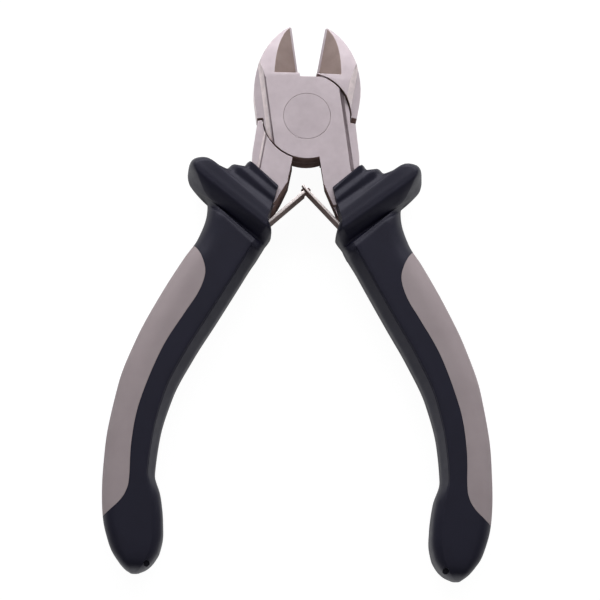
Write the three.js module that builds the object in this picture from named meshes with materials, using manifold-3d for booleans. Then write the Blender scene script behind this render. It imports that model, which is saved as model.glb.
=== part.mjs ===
// Wire cutter: two lap-jointed steel levers on one rivet, with moulded grips and two leaf springs.
// Millimetres, +Z up. The tool lies flat with its jaws towards +Y, open at its rest angle.
// The origin is on the pivot axis, in the plane of the joint's back face.
import * as THREE from "three";
import { mergeVertices } from "three/addons/utils/BufferGeometryUtils.js";
import Module from "manifold-3d";

const wasm = await Module();
wasm.setup();

// Lap joint
const JOINT_THICKNESS = 9;
const JOINT_RADIUS = 9.5;
const JOINT_FLAT_Y = 9;
const SHOULDER_WIDTH = 1.3;
const SHOULDER_GAP = 0.28;
const LAP_GAP = 0.2;
const OPEN_ANGLE = 18;
const OVER_OPEN_ANGLE = 2.5;
const JAW_SHOULDER_ANGLE = 6.2;
const ARC_SEGMENTS = 64;

// Flat ground faces and the lower flanks beside them
const PLATEAU_HALF_WIDTH = 7.8;
const FLANK_BEVEL_WIDTH = 1.3;
const FLANK_BEVEL_DEPTH = 1.1;
const FLANK_FALL = 0.8;

// Jaws
const JAW_LENGTH = 21.7;
const TIP_WIDTH = 0.9;
const TIP_THICKNESS = 1;
const NOSE_START = 9.5;
const NOSE_BULGE = 0.76;
const EDGE_SETBACK = 0.33;
const EDGE_HEIGHT = -0.4;
const BEVEL_WIDTH = 5.6;
const BEVEL_WALL_LIFT = 0.4;
const BEVEL_WALL_SLOPE = 0.148;
const LAND_WIDTH = 0.5;
const LAND_DEPTH = 1.1;
const BACK_BEVEL_WIDTH = 1.9;

// Rivet
const RIVET_HEAD_RADIUS = 5;
const RIVET_SHANK_RADIUS = 3.4;
const RIVET_HEAD_DEPTH = 1.5;
const RIVET_RIM_DEPTH = 0.4;
const RIVET_FIT = 0.12;

// Tang inside a grip
const TANG_THICKNESS = 6;
const TANG_WIDTH = 4.8;
const TANG_COVER = 5;
const TANG_SECTIONS = 8;
const TANG_FIT = 0.3;
const TANG_STEP_Y = -20.5;

// Leaf springs
const SPRING_THICKNESS = 0.7;
const SPRING_WIDTH = 4;
const SPRING_FOOT_RADIUS = 0.75;
const SPRING_FOOT = new THREE.Vector2(4.9, -25.7);
const SPRING_CROSSING = 16.5;
const SPRING_TIP = 1.7;
const SPRING_FIT = 0.3;
const SPRING_SWING = 15.5;
const TONGUE_WIDTH = 1.8;
const TONGUE_TIP = 1.7;
const SLOT_HALF_LENGTH = 1.3;

// Grips
const NECK = new THREE.Vector2(17.45, -25.4);
const HANDLE_LENGTH = 78.1;
const HANDLE_BOW = 12;
const GUARD_REACH = 5.85;
const COLLAR_WALL = 1.1;
const RIB_HEIGHT = 0.6;
const GUARD_RISE = 1.3;
const PANEL_WALL = 2.6;
const NECK_DEPTH = 1;
const INLAY_DEPTH = 1.5;
const INLAY_GAP = 0.15;
const GATE_HOLE_RADIUS = 0.55;
const GATE_HOLE_DEPTH = 1.2;
const GATE_HOLE_INSET = 6;

const JOINT_HALF = JOINT_THICKNESS / 2;
const TANG_HALF = TANG_THICKNESS / 2;
const COLLAR_HALF = JOINT_HALF + COLLAR_WALL;
const GUARD_HALF = COLLAR_HALF + GUARD_RISE;
const PANEL_HALF = TANG_HALF + PANEL_WALL;
const NECK_HALF = PANEL_HALF - NECK_DEPTH;
const TANG_SHOULDER_ANGLE = OPEN_ANGLE + OVER_OPEN_ANGLE - JAW_SHOULDER_ANGLE;

const rad = THREE.MathUtils.degToRad;
const at = (x, y) => new THREE.Vector2(x, y);

// A closed three.js geometry as a solid for boolean work.
function solid(geometry) {
  const loose = geometry.index ? geometry.toNonIndexed() : geometry;
  const bare = new THREE.BufferGeometry();
  bare.setAttribute("position", loose.getAttribute("position"));
  const joined = mergeVertices(bare, 1e-4);
  return new wasm.Manifold(new wasm.Mesh({
    numProp: 3,
    vertProperties: joined.getAttribute("position").array,
    triVerts: new Uint32Array(joined.index.array),
  }));
}

// A finished solid as a named mesh.
function mesh(name, body, colour, metalness, roughness) {
  const data = body.getMesh();
  const geometry = new THREE.BufferGeometry();
  const stride = data.numProp;
  const positions = new Float32Array((data.vertProperties.length / stride) * 3);
  for (let i = 0; i < positions.length / 3; i += 1) {
    positions.set(data.vertProperties.subarray(i * stride, i * stride + 3), i * 3);
  }
  geometry.setAttribute("position", new THREE.BufferAttribute(positions, 3));
  geometry.setIndex(new THREE.BufferAttribute(new Uint32Array(data.triVerts), 1));
  geometry.computeVertexNormals();
  const material = new THREE.MeshStandardMaterial({ color: colour, metalness, roughness });
  const part = new THREE.Mesh(geometry, material);
  part.name = name;
  return part;
}

// A plan outline extruded between two heights.
function plate(outline, low, high) {
  const geometry = new THREE.ExtrudeGeometry(new THREE.Shape(outline), {
    depth: high - low,
    bevelEnabled: false,
  });
  return solid(geometry.translate(0, 0, low));
}

// An outline in X and Z extruded along Y.
function alongY(outline, from, to) {
  const geometry = new THREE.ExtrudeGeometry(new THREE.Shape(outline), {
    depth: to - from,
    bevelEnabled: false,
  });
  const turn = new THREE.Matrix4().makeBasis(
    new THREE.Vector3(1, 0, 0), new THREE.Vector3(0, 0, 1), new THREE.Vector3(0, -1, 0),
  );
  return geometry.applyMatrix4(turn).translate(0, to, 0);
}

// An outline in Y and Z extruded along X, the same distance both ways.
function alongX(outline, reach) {
  const geometry = new THREE.ExtrudeGeometry(new THREE.Shape(outline), {
    depth: 2 * reach,
    bevelEnabled: false,
  });
  const turn = new THREE.Matrix4().makeBasis(
    new THREE.Vector3(0, 1, 0), new THREE.Vector3(0, 0, 1), new THREE.Vector3(1, 0, 0),
  );
  return geometry.applyMatrix4(turn).translate(-reach, 0, 0);
}

// A closed profile of radius and height turned about Z.
function turned(profile, segments) {
  return solid(new THREE.LatheGeometry(profile, segments).rotateX(Math.PI / 2));
}

// A round bar along Z between two heights.
function bar(x, y, radius, low, high, segments) {
  const profile = [at(0, low), at(radius, low), at(radius, high), at(0, high)];
  return turned(profile, segments).translate([x, y, 0]);
}

// A plan outline moved outwards by a distance, with mitred corners.
function grown(outline, distance) {
  const count = outline.length;
  const side = Math.sign(THREE.ShapeUtils.area(outline));
  return outline.map((point, i) => {
    const into = point.clone().sub(outline[(i + count - 1) % count]).normalize();
    const out = outline[(i + 1) % count].clone().sub(point).normalize();
    const mitre = at(into.y + out.y, -into.x - out.x).normalize();
    const reach = Math.max(0.5, mitre.x * into.y - mitre.y * into.x);
    return point.clone().addScaledVector(mitre, (side * distance) / reach);
  });
}

// Points along a smooth curve through a few chosen ones.
function smooth(points, steps) {
  return new THREE.SplineCurve(points).getPoints(steps);
}

// The steel of a lever in its closed frame: jaw at -X, tang at +X, lap disc above the middle plane.
// The ground side of the jaw is +1 for the top face and -1 for the underside.
const FLANK_X = JOINT_RADIUS + SHOULDER_WIDTH;

function jawOutline() {
  const step = rad(JAW_SHOULDER_ANGLE);
  const inner = JOINT_RADIUS * 0.8;
  const flank = new THREE.CubicBezierCurve(
    at(-TIP_WIDTH, JAW_LENGTH),
    at(-TIP_WIDTH - 5.8, JAW_LENGTH - 2.9),
    at(-FLANK_X, JAW_LENGTH - 9.9),
    at(-FLANK_X, JAW_LENGTH - 16.4),
  );
  return [
    at(-EDGE_SETBACK, inner / 2),
    at(-EDGE_SETBACK, JAW_LENGTH),
    ...flank.getPoints(12),
    at(-FLANK_X, FLANK_X * Math.tan(step)),
    at(-inner * Math.cos(step), inner * Math.sin(step)),
  ];
}

const TANG_OUTER = [at(10.2, -10), at(9.7, -14), at(10.1, -18), at(11.4, -23)];
const TANG_INNER = [at(4.2, -24.6), at(3.3, -21.6), at(2.4, -18.6), at(1.5, -15.2)];

function tangOutline() {
  const step = rad(TANG_SHOULDER_ANGLE);
  const inner = JOINT_RADIUS * 0.8;
  const flank = FLANK_X - 0.4;
  const core = HANDLE_SECTIONS.slice(0, TANG_SECTIONS);
  const under = (row, depth) => {
    const across = row.inner.clone().sub(row.outer).normalize();
    return row.outer.clone().addScaledVector(across, depth);
  };
  return [
    at(inner * Math.cos(step), -inner * Math.sin(step)),
    at(flank, -flank * Math.tan(step)),
    ...TANG_OUTER,
    ...core.map((row) => under(row, TANG_COVER)),
    ...core.map((row) => under(row, TANG_COVER + TANG_WIDTH)).reverse(),
    ...TANG_INNER,
    at(1.4, -JOINT_RADIUS),
    at(1.4, -inner),
  ];
}

// The tang, full height down to the step in the grip and thinner below it.
function tang(fit) {
  const outline = grown(tangOutline(), fit);
  const thin = plate(outline, -TANG_HALF - fit, TANG_HALF + fit);
  const low = TANG_STEP_Y - fit;
  const upper = [at(-HANDLE_LENGTH, 5), at(-HANDLE_LENGTH, low), at(HANDLE_LENGTH, low), at(HANDLE_LENGTH, 5)];
  const window = plate(upper, -JOINT_HALF - fit, JOINT_HALF + fit);
  return plate(outline, -JOINT_HALF - fit, JOINT_HALF + fit).intersect(window).add(thin);
}

// The level of the steel across its width: a flat plateau, a bevel and a falling flank each side.
function headEnvelope() {
  const reach = PLATEAU_HALF_WIDTH + 6;
  const bevel = PLATEAU_HALF_WIDTH + FLANK_BEVEL_WIDTH;
  const low = JOINT_HALF - FLANK_BEVEL_DEPTH;
  const side = [at(PLATEAU_HALF_WIDTH, JOINT_HALF), at(bevel, low), at(reach, low - FLANK_FALL * 1.6)];
  const right = [...side, ...side.map((p) => at(p.x, -p.y)).reverse()];
  return solid(alongY([...right, ...right.map((p) => at(-p.x, -p.y))], -40, JAW_LENGTH + 1));
}

// The side view of a jaw, thinning to the tip.
function noseEnvelope() {
  const nose = new THREE.QuadraticBezierCurve(
    at(NOSE_START, JOINT_HALF),
    at(NOSE_START + NOSE_BULGE * (JAW_LENGTH - NOSE_START), JOINT_HALF * NOSE_BULGE),
    at(JAW_LENGTH, TIP_THICKNESS / 2),
  ).getPoints(8);
  const top = [at(-5, JOINT_HALF), ...nose, at(JAW_LENGTH + 1, TIP_THICKNESS / 2)];
  return solid(alongX([...top, ...top.map((p) => at(p.x, -p.y)).reverse()], FLANK_X + 2));
}

// The two grinding cuts that leave the cutting edge of a jaw.
function bevelCuts(ground) {
  const over = JOINT_HALF + 2;
  const slope = (BEVEL_WIDTH - LAND_WIDTH) / (JOINT_HALF - EDGE_HEIGHT - LAND_DEPTH);
  const front = [
    at(1, EDGE_HEIGHT),
    at(-EDGE_SETBACK, EDGE_HEIGHT),
    at(-EDGE_SETBACK - LAND_WIDTH, EDGE_HEIGHT + LAND_DEPTH),
    at(-EDGE_SETBACK - BEVEL_WIDTH - 2 * slope, over),
    at(1, over),
  ];
  const backSlope = BACK_BEVEL_WIDTH / (JOINT_HALF + EDGE_HEIGHT);
  const back = [
    at(1, EDGE_HEIGHT),
    at(-EDGE_SETBACK, EDGE_HEIGHT),
    at(-EDGE_SETBACK - BACK_BEVEL_WIDTH - 2 * backSlope, -over),
    at(1, -over),
  ];
  const lean = new THREE.Matrix4().set(1, 0, 0, 0, -BEVEL_WALL_SLOPE, 1, 0, 0, 0, 0, 1, 0, 0, 0, 0, 1);
  const start = JOINT_RADIUS + BEVEL_WALL_LIFT;
  return [front, back].map((outline) => {
    const facing = outline.map((p) => at(p.x, p.y * ground));
    return solid(alongY(facing, start, JAW_LENGTH + 3).applyMatrix4(lean));
  });
}

function rivetProfile(fit, over) {
  const head = RIVET_HEAD_RADIUS + fit;
  const shank = RIVET_SHANK_RADIUS + fit;
  const end = JOINT_HALF + over;
  const rim = JOINT_HALF - RIVET_RIM_DEPTH;
  const neck = JOINT_HALF - RIVET_HEAD_DEPTH;
  const upper = [at(shank, neck), at(head, rim), at(head, end), at(0, end)];
  return [...upper.map((p) => at(p.x, -p.y)).reverse(), ...upper];
}

// The lap disc, cut flat between the jaws, level when the tool is open.
function lapDisc() {
  const disc = bar(0, 0, JOINT_RADIUS, LAP_GAP / 2, JOINT_HALF, ARC_SEGMENTS);
  const reach = 2 * JOINT_RADIUS;
  const level = [at(-reach, JOINT_FLAT_Y), at(-reach, -reach), at(reach, -reach), at(reach, JOINT_FLAT_Y)];
  const turn = at(0, 0);
  const outline = level.map((p) => p.rotateAround(turn, -rad(OPEN_ANGLE / 2)));
  return disc.intersect(plate(outline, -JOINT_HALF, JOINT_HALF));
}

function lever(name, ground) {
  const jaw = plate(jawOutline(), -JOINT_HALF, JOINT_HALF).intersect(noseEnvelope());
  const recess = bar(0, 0, JOINT_RADIUS + SHOULDER_GAP, -JOINT_HALF - 1, LAP_GAP / 2, ARC_SEGMENTS);
  const steel = jaw.add(tang(0).subtract(springRoom())).subtract(recess).add(lapDisc());
  let body = steel.intersect(headEnvelope().add(lowerTangRoom()));
  for (const cut of bevelCuts(ground)) {
    body = body.subtract(cut);
  }
  body = body.subtract(turned(rivetProfile(RIVET_FIT, 1), ARC_SEGMENTS));
  return mesh(name, body, 0xb4aaac, 0.9, 0.35);
}

// Everything below the collar's mouth, where the flanks of the tang keep their full height.
function lowerTangRoom() {
  const reach = 2 * HANDLE_LENGTH;
  const mouth = COLLAR_SECTIONS[0].outer.y - 1;
  const outline = [at(-reach, -reach), at(reach, -reach), at(reach, mouth), at(-reach, mouth)];
  return plate(outline, -JOINT_HALF, JOINT_HALF);
}

function rivet() {
  return mesh("pivot_rivet", turned(rivetProfile(0, 0), ARC_SEGMENTS), 0xb8aeb0, 0.9, 0.3);
}

// Sections of a grip from its mouth to its end: points on the outer and inner edge, half thickness,
// width of the bevel along the inner edge and of the rounding along the outer edge.
const section = (outer, inner, half, bevel, round) => ({ outer, inner, half, bevel, round });

// A place on the guard's outer edge, as a share of its reach from the neck.
const guard = (share, y) => at(NECK.x + share * GUARD_REACH, y);

const COLLAR_SECTIONS = [
  section(at(10.2, -12.5), at(3, -16.8), COLLAR_HALF - 0.4, 0.4, 0.6),
  section(at(11, -12.5), at(3.05, -17.5), COLLAR_HALF + RIB_HEIGHT * 0.8, 0.4, 1.2),
  section(at(12.4, -13.6), at(3.3, -18.8), COLLAR_HALF, 0.4, 2),
  section(at(14.1, -13.5), at(3.6, -19.7), COLLAR_HALF + RIB_HEIGHT, 0.4, 2.6),
  section(at(16.1, -14.6), at(4, -21.1), COLLAR_HALF + RIB_HEIGHT / 2, 0.4, 3),
  section(guard(0.16, -13.8), at(4.2, -21.6), COLLAR_HALF + RIB_HEIGHT, 0.4, 3.5),
  section(guard(0.59, -12.9), at(4.4, -22.2), GUARD_HALF, 0.4, 4),
  section(guard(0.91, -14), at(4.6, -23), GUARD_HALF, 0.4, 4),
  section(guard(1, -15.8), at(4.7, -23.9), GUARD_HALF, 0.4, 4),
  section(guard(0.95, -17.2), at(4.6, -24.6), GUARD_HALF - 0.9, 0.5, 4),
  section(guard(0.81, -18.5), at(2.9, -25.2), NECK_HALF + 0.5, 1, 4),
  section(guard(0.61, -19.8), at(2.6, -26.5), NECK_HALF + 0.2, 1, 4),
  section(guard(0.18, -21.9), at(3.1, -28.2), NECK_HALF, 1.2, 3),
  section(guard(0.04, -23.3), at(3.9, -29.6), NECK_HALF + 0.2, 1.4, 3),
];

// A handle section: how far down the handle and out with its bow its outer point lies, as shares,
// and in millimetres its width and how much lower its inner point is.
function handle(down, out, width, lean, half, bevel, round) {
  const outer = at(NECK.x + out * HANDLE_BOW, NECK.y - down * HANDLE_LENGTH);
  return section(outer, at(outer.x - width, outer.y - lean), half, bevel, round);
}

const HANDLE_SECTIONS = [
  handle(0, 0, 12.75, 5.9, PANEL_HALF, 1.8, 4),
  handle(0.064, 0.071, 12.3, 4.4, PANEL_HALF, 2, 5),
  handle(0.128, 0.254, 12.7, 4.1, PANEL_HALF, 2, 5),
  handle(0.243, 0.546, 13, 3.4, PANEL_HALF, 2, 5),
  handle(0.374, 0.813, 12.8, 1.8, PANEL_HALF, 2, 5),
  handle(0.506, 0.971, 11.9, 0.7, PANEL_HALF, 1.8, 5),
  handle(0.63, 1, 11.25, -0.2, PANEL_HALF, 1.5, 5),
  handle(0.739, 0.946, 11, -0.9, PANEL_HALF, 1.5, 4.5),
  handle(0.816, 0.863, 12.2, -2.1, PANEL_HALF, 1.8, 3.5),
  handle(0.883, 0.738, 12.4, -0.5, PANEL_HALF, 2, 3),
  handle(0.93, 0.596, 11, -0.5, PANEL_HALF, 2, 3),
  handle(0.969, 0.396, 7.9, -1.1, PANEL_HALF, 2, 2.5),
  handle(0.988, 0.238, 4.9, -0.8, PANEL_HALF - 0.9, 1.5, 1.5),
  handle(1, 0.104, 1.6, -0.3, PANEL_HALF - 2.4, 0.5, 0.5),
];

// Half a section as distance from the inner edge and height, from the inner edge outwards.
function sectionProfile({ outer, inner, half, bevel, round }, inset) {
  const length = outer.distanceTo(inner) - inset;
  const high = half - inset;
  return [
    at(inset, high * 0.4),
    at(inset + bevel, high),
    at(length - round, high),
    at(length - round * 0.5, high * 0.88),
    at(length - round * 0.15, high * 0.6),
    at(length, high * 0.25),
  ];
}

// The collar's sections as they are, then the handle's with one more between each two on smooth edges.
function gripSections() {
  const outer = new THREE.SplineCurve(HANDLE_SECTIONS.map((row) => row.outer));
  const inner = new THREE.SplineCurve(HANDLE_SECTIONS.map((row) => row.inner));
  const mean = (a, b) => (a + b) / 2;
  const rows = [...COLLAR_SECTIONS];
  HANDLE_SECTIONS.forEach((row, i) => {
    rows.push(row);
    const next = HANDLE_SECTIONS[i + 1];
    if (next) {
      const t = (i + 0.5) / (HANDLE_SECTIONS.length - 1);
      const [half, bevel, round] = ["half", "bevel", "round"].map((key) => mean(row[key], next[key]));
      rows.push(section(outer.getPoint(t), inner.getPoint(t), half, bevel, round));
    }
  });
  return rows;
}

// The outer edge of the handle at a share of its length, moved inwards by a distance.
function withinEdge(down, inset) {
  const y = NECK.y - down * HANDLE_LENGTH;
  const below = Math.max(1, HANDLE_SECTIONS.findIndex((row) => row.outer.y < y));
  const [a, b] = [HANDLE_SECTIONS[below - 1].outer, HANDLE_SECTIONS[below].outer];
  return a.clone().lerp(b, (a.y - y) / (a.y - b.y)).sub(at(inset, 0));
}

// The whole grip as one skin over its sections, optionally shrunk inwards.
function gripBody(inset) {
  const rings = gripSections().map((row) => {
    const along = row.outer.clone().sub(row.inner).normalize();
    const half = sectionProfile(row, inset);
    const whole = [...half.map((p) => at(p.x, -p.y)), ...half.slice().reverse()];
    return whole.map((p) => new THREE.Vector3(row.inner.x + along.x * p.x, row.inner.y + along.y * p.x, p.y));
  });
  const corners = rings[0].length;
  const points = [];
  const quad = (a, b, c, d) => points.push(a, b, c, b, d, c);
  for (let k = 0; k + 1 < rings.length; k += 1) {
    for (let i = 0; i < corners; i += 1) {
      const j = (i + 1) % corners;
      quad(rings[k][i], rings[k][j], rings[k + 1][i], rings[k + 1][j]);
    }
  }
  const first = rings[0];
  const last = rings[rings.length - 1];
  for (let i = 1; i + 1 < corners; i += 1) {
    points.push(first[0], first[i + 1], first[i]);
    points.push(last[0], last[i], last[i + 1]);
  }
  return solid(new THREE.BufferGeometry().setFromPoints(points));
}

// The plan of the soft inlay: its edge on the front panel, closed well outside the grip.
// Each pair is a share of the handle's length and the inset from the handle's outer edge.
const INLAY_EDGE = [
  [0.069, -1.6], [0.097, 2], [0.156, 5.7], [0.232, 6.9], [0.325, 5.9], [0.438, 5.4],
  [0.566, 5.1], [0.673, 5.2], [0.763, 5.5], [0.822, 3.3], [0.894, -2.6],
];

function inlayOutline() {
  const edge = smooth(INLAY_EDGE.map(([down, inset]) => withinEdge(down, inset)), 28);
  const beyond = NECK.x + 2 * HANDLE_BOW;
  return [at(beyond, edge[0].y + 5), ...edge, at(beyond, edge[edge.length - 1].y - 5)];
}

function inlay(name) {
  const body = gripBody(0).intersect(plate(inlayOutline(), -12, 12)).subtract(gripBody(INLAY_DEPTH));
  return mesh(name, body, 0x9b8f8f, 0, 0.7);
}

// The leaf's direction from its foot to the place where the two leaves cross.
function springReach() {
  const turn = rad(OPEN_ANGLE / 2);
  const crossing = at(-SPRING_CROSSING * Math.sin(turn), -SPRING_CROSSING * Math.cos(turn));
  return crossing.sub(SPRING_FOOT);
}

// A straight leaf along +X from its foot, grown by a fit.
function leafStrip(from, to, width, fit) {
  const half = SPRING_THICKNESS / 2 + fit;
  const outline = [at(from, -half), at(to, -half), at(to, half), at(from, half)];
  return plate(outline, -width / 2 - fit, width / 2 + fit);
}

function leafFoot(fit) {
  return bar(0, 0, SPRING_FOOT_RADIUS + fit, -SPRING_WIDTH / 2 - fit, SPRING_WIDTH / 2 + fit, 20);
}

// The room in a grip where the foot of its leaf sits and the leaf swings.
function springRoom() {
  const angle = THREE.MathUtils.radToDeg(springReach().angle());
  let room = leafFoot(SPRING_FIT);
  for (const swing of [-SPRING_SWING, -SPRING_SWING / 2, 0, SPRING_SWING / 4]) {
    room = room.add(leafStrip(0, 8, SPRING_WIDTH, SPRING_FIT).rotate([0, 0, angle + swing]));
  }
  return room.translate([SPRING_FOOT.x, SPRING_FOOT.y, 0]);
}

function slottedLeaf() {
  const reach = springReach().length();
  const slot = leafStrip(reach - SLOT_HALF_LENGTH, reach + SLOT_HALF_LENGTH - 0.1, TONGUE_WIDTH, SPRING_FIT);
  const body = leafStrip(0, reach + SPRING_TIP, SPRING_WIDTH, 0).subtract(slot).add(leafFoot(0));
  return mesh("spring_leaf_slotted", body, 0xb9b2b4, 0.9, 0.3);
}

function tongueLeaf() {
  const reach = springReach().length();
  const tongue = leafStrip(reach - SLOT_HALF_LENGTH - 1, reach + TONGUE_TIP, TONGUE_WIDTH, 0);
  const body = leafStrip(0, reach - SLOT_HALF_LENGTH, SPRING_WIDTH, 0).add(tongue).add(leafFoot(0));
  return mesh("spring_leaf_tongue", body, 0xb9b2b4, 0.9, 0.3);
}

// A small moulding hole square to the end bevel, seen from one face.
function gateHole(face) {
  const surface = face * (PANEL_HALF - 1.2);
  const ends = [surface - face * GATE_HOLE_DEPTH, surface + face * 3];
  const place = withinEdge(0.968, GATE_HOLE_INSET);
  return bar(place.x, place.y, GATE_HOLE_RADIUS, Math.min(...ends), Math.max(...ends), 12);
}

function grip(name) {
  const pocket = plate(grown(inlayOutline(), INLAY_GAP), -12, 12).subtract(gripBody(INLAY_DEPTH + INLAY_GAP));
  let body = gripBody(0).subtract(pocket).subtract(tang(TANG_FIT)).subtract(springRoom());
  body = body.subtract(gateHole(1)).subtract(gateHole(-1));
  return mesh(name, body, 0x24262f, 0, 0.6);
}

// One lever with all that rides on it, in the lever's closed frame.
function half(steel, leaf, gripName, inlayName) {
  const group = new THREE.Group();
  const foot = new THREE.Group();
  foot.position.set(SPRING_FOOT.x, SPRING_FOOT.y, 0);
  foot.rotation.z = springReach().angle();
  foot.add(leaf);
  group.add(steel, grip(gripName), inlay(inlayName), foot);
  return group;
}

const front = half(lever("jaw_lever_front", 1), slottedLeaf(), "grip_right", "grip_inlay_right");
front.add(rivet());
front.rotation.z = rad(OPEN_ANGLE / 2);

const flipped = half(lever("jaw_lever_rear", -1), tongueLeaf(), "grip_left", "grip_inlay_left");
flipped.rotation.y = Math.PI;
const rear = new THREE.Group();
rear.rotation.z = -rad(OPEN_ANGLE / 2);
rear.add(flipped);

const cutter = new THREE.Group();
cutter.name = "wire_cutter";
cutter.position.z = JOINT_HALF;
cutter.add(front, rear);

export default cutter;
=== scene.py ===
"""Wire cutter, open at its rest angle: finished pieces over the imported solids.

Sizes in the classes are millimetres in a lever's closed frame: pivot at the origin, jaws towards +Y, the
middle plane of the joint at height 0. Finished objects are in metres in the row frame.
"""

from __future__ import annotations

import logging
import math
from collections.abc import Iterator
from contextlib import contextmanager
from dataclasses import dataclass
from enum import Enum, IntEnum

import bmesh
import bpy
import numpy as np
from bpy.types import BevelModifier, Material, Mesh, Node, NodeSocket, NodeTree, Object
from mathutils import Matrix, Vector

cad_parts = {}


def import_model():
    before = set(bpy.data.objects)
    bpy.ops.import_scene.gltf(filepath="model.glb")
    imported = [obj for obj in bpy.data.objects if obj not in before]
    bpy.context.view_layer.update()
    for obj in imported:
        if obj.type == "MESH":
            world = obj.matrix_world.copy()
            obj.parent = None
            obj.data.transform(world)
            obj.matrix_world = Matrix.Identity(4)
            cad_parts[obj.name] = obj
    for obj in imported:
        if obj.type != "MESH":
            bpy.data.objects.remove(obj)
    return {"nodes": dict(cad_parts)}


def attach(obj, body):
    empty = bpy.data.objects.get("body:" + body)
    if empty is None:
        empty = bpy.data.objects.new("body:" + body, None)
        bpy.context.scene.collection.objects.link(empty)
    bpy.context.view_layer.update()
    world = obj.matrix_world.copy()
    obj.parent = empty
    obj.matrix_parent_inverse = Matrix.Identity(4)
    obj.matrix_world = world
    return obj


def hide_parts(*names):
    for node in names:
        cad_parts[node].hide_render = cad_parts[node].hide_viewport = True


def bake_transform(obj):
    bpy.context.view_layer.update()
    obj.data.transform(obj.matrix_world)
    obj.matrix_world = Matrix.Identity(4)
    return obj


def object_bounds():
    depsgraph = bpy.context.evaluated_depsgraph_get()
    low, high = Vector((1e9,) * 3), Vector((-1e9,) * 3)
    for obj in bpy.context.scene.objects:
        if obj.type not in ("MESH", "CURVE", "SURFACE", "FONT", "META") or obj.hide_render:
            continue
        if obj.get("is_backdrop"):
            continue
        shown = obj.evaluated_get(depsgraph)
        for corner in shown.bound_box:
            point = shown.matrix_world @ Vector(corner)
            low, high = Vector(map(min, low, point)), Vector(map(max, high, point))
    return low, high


MM = 0.001
OPEN_ANGLE = 18.0
JOINT_HALF = 4.5
MERGE = 1e-4
MERGE_METRES = 1e-6

Point = tuple[float, float]
Colour = tuple[float, float, float]

log = logging.getLogger("wire_cutter")


class Side(Enum):
    """The lever that a piece belongs to, seen from the front."""

    FRONT = "right"
    REAR = "left"

    @property
    def body(self) -> str:
        """Name of the body that the lever's pieces ride on."""
        return "front_lever" if self is Side.FRONT else "rear_lever"

    def placement(self) -> Matrix:
        """Work out how the lever stands at rest.

        Returns:
            The matrix from the closed lever frame in millimetres to the row frame in metres.
        """
        turn = math.radians(OPEN_ANGLE / 2)
        spin = Matrix.Rotation(turn, 4, "Z")
        if self is Side.REAR:
            spin = Matrix.Rotation(-turn, 4, "Z") @ Matrix.Rotation(math.pi, 4, "Y")
        return Matrix.Translation((0, 0, JOINT_HALF * MM)) @ spin @ Matrix.Scale(MM, 4)


class Cut(Enum):
    """How one closed shape works on another."""

    TAKE_AWAY = "DIFFERENCE"
    KEEP_COMMON = "INTERSECT"
    JOIN = "UNION"


class Surface(IntEnum):
    """The finishes of a forging, in the order of its material slots."""

    SATIN = 0
    GROUND = 1
    DARK = 2
    CAST = 3
    STRIP_SHADE = 4


def linear(red: int, green: int, blue: int) -> Colour:
    """Turn a display colour into linear light.

    Args:
        red, green, blue: display values from 0 to 255.

    Returns:
        The colour as linear values from 0 to 1.
    """
    def one(value: int) -> float:
        """One channel in linear light."""
        share = value / 255
        return share / 12.92 if share <= 0.04045 else ((share + 0.055) / 1.055) ** 2.4

    return one(red), one(green), one(blue)


class NodeSheet:
    """Adds and links the nodes of one material or world."""

    def __init__(self, tree: NodeTree) -> None:
        """Start from an empty tree."""
        self.tree = tree
        tree.nodes.clear()

    def add(self, kind: str, inputs: dict | None = None, **settings: object) -> Node:
        """Add a node.

        Args:
            kind: Blender's name of the node type.
            inputs: values or output sockets for its inputs, by name or number.
            settings: the node's own properties.

        Returns:
            The new node.
        """
        node = self.tree.nodes.new(kind)
        for key, value in settings.items():
            setattr(node, key, value)
        for key, value in (inputs or {}).items():
            if isinstance(value, NodeSocket):
                self.tree.links.new(value, node.inputs[key])
            else:
                node.inputs[key].default_value = value
        return node

    def noise(self, place: NodeSocket, scale: float, detail: float) -> NodeSocket:
        """Grey noise at a scale in waves per metre."""
        inputs = {"Vector": place, "Scale": scale, "Detail": detail, "Roughness": 0.55}
        return self.add("ShaderNodeTexNoise", inputs).outputs[0]

    def remap(self, value: NodeSocket, low: float, high: float) -> NodeSocket:
        """Spread the middle of a noise over a range."""
        inputs = {"Value": value, "From Min": 0.3, "From Max": 0.7, "To Min": low, "To Max": high}
        return self.add("ShaderNodeMapRange", inputs).outputs[0]

    def tint(self, value: NodeSocket, dark: Colour, light: Colour) -> NodeSocket:
        """Mix two tints.

        Args:
            value: 0 for the dark tint and 1 for the light one.
            dark, light: the linear tints.

        Returns:
            The socket of the mixed colour.
        """
        node = self.add("ShaderNodeMix", {0: value}, data_type="RGBA")
        node.inputs[6].default_value = (*dark, 1)
        node.inputs[7].default_value = (*light, 1)
        return node.outputs[2]

    def edge_mask(self, radius: float, gain: float) -> NodeSocket:
        """Value that rises along convex and concave edges.

        Args:
            radius: how far from an edge it reaches, in metres.
            gain: how fast it rises.

        Returns:
            A socket from 0 on flat faces to 1 on edges.
        """
        soft = self.add("ShaderNodeBevel", {"Radius": radius}, samples=6)
        plain = self.add("ShaderNodeNewGeometry")
        inputs = {0: soft.outputs[0], 1: plain.outputs["Normal"]}
        same = self.add("ShaderNodeVectorMath", inputs, operation="DOT_PRODUCT")
        inputs = {"Value": same.outputs["Value"], "From Min": 1.0, "From Max": 1.0 - 1.0 / gain}
        return self.add("ShaderNodeMapRange", inputs).outputs[0]


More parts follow.
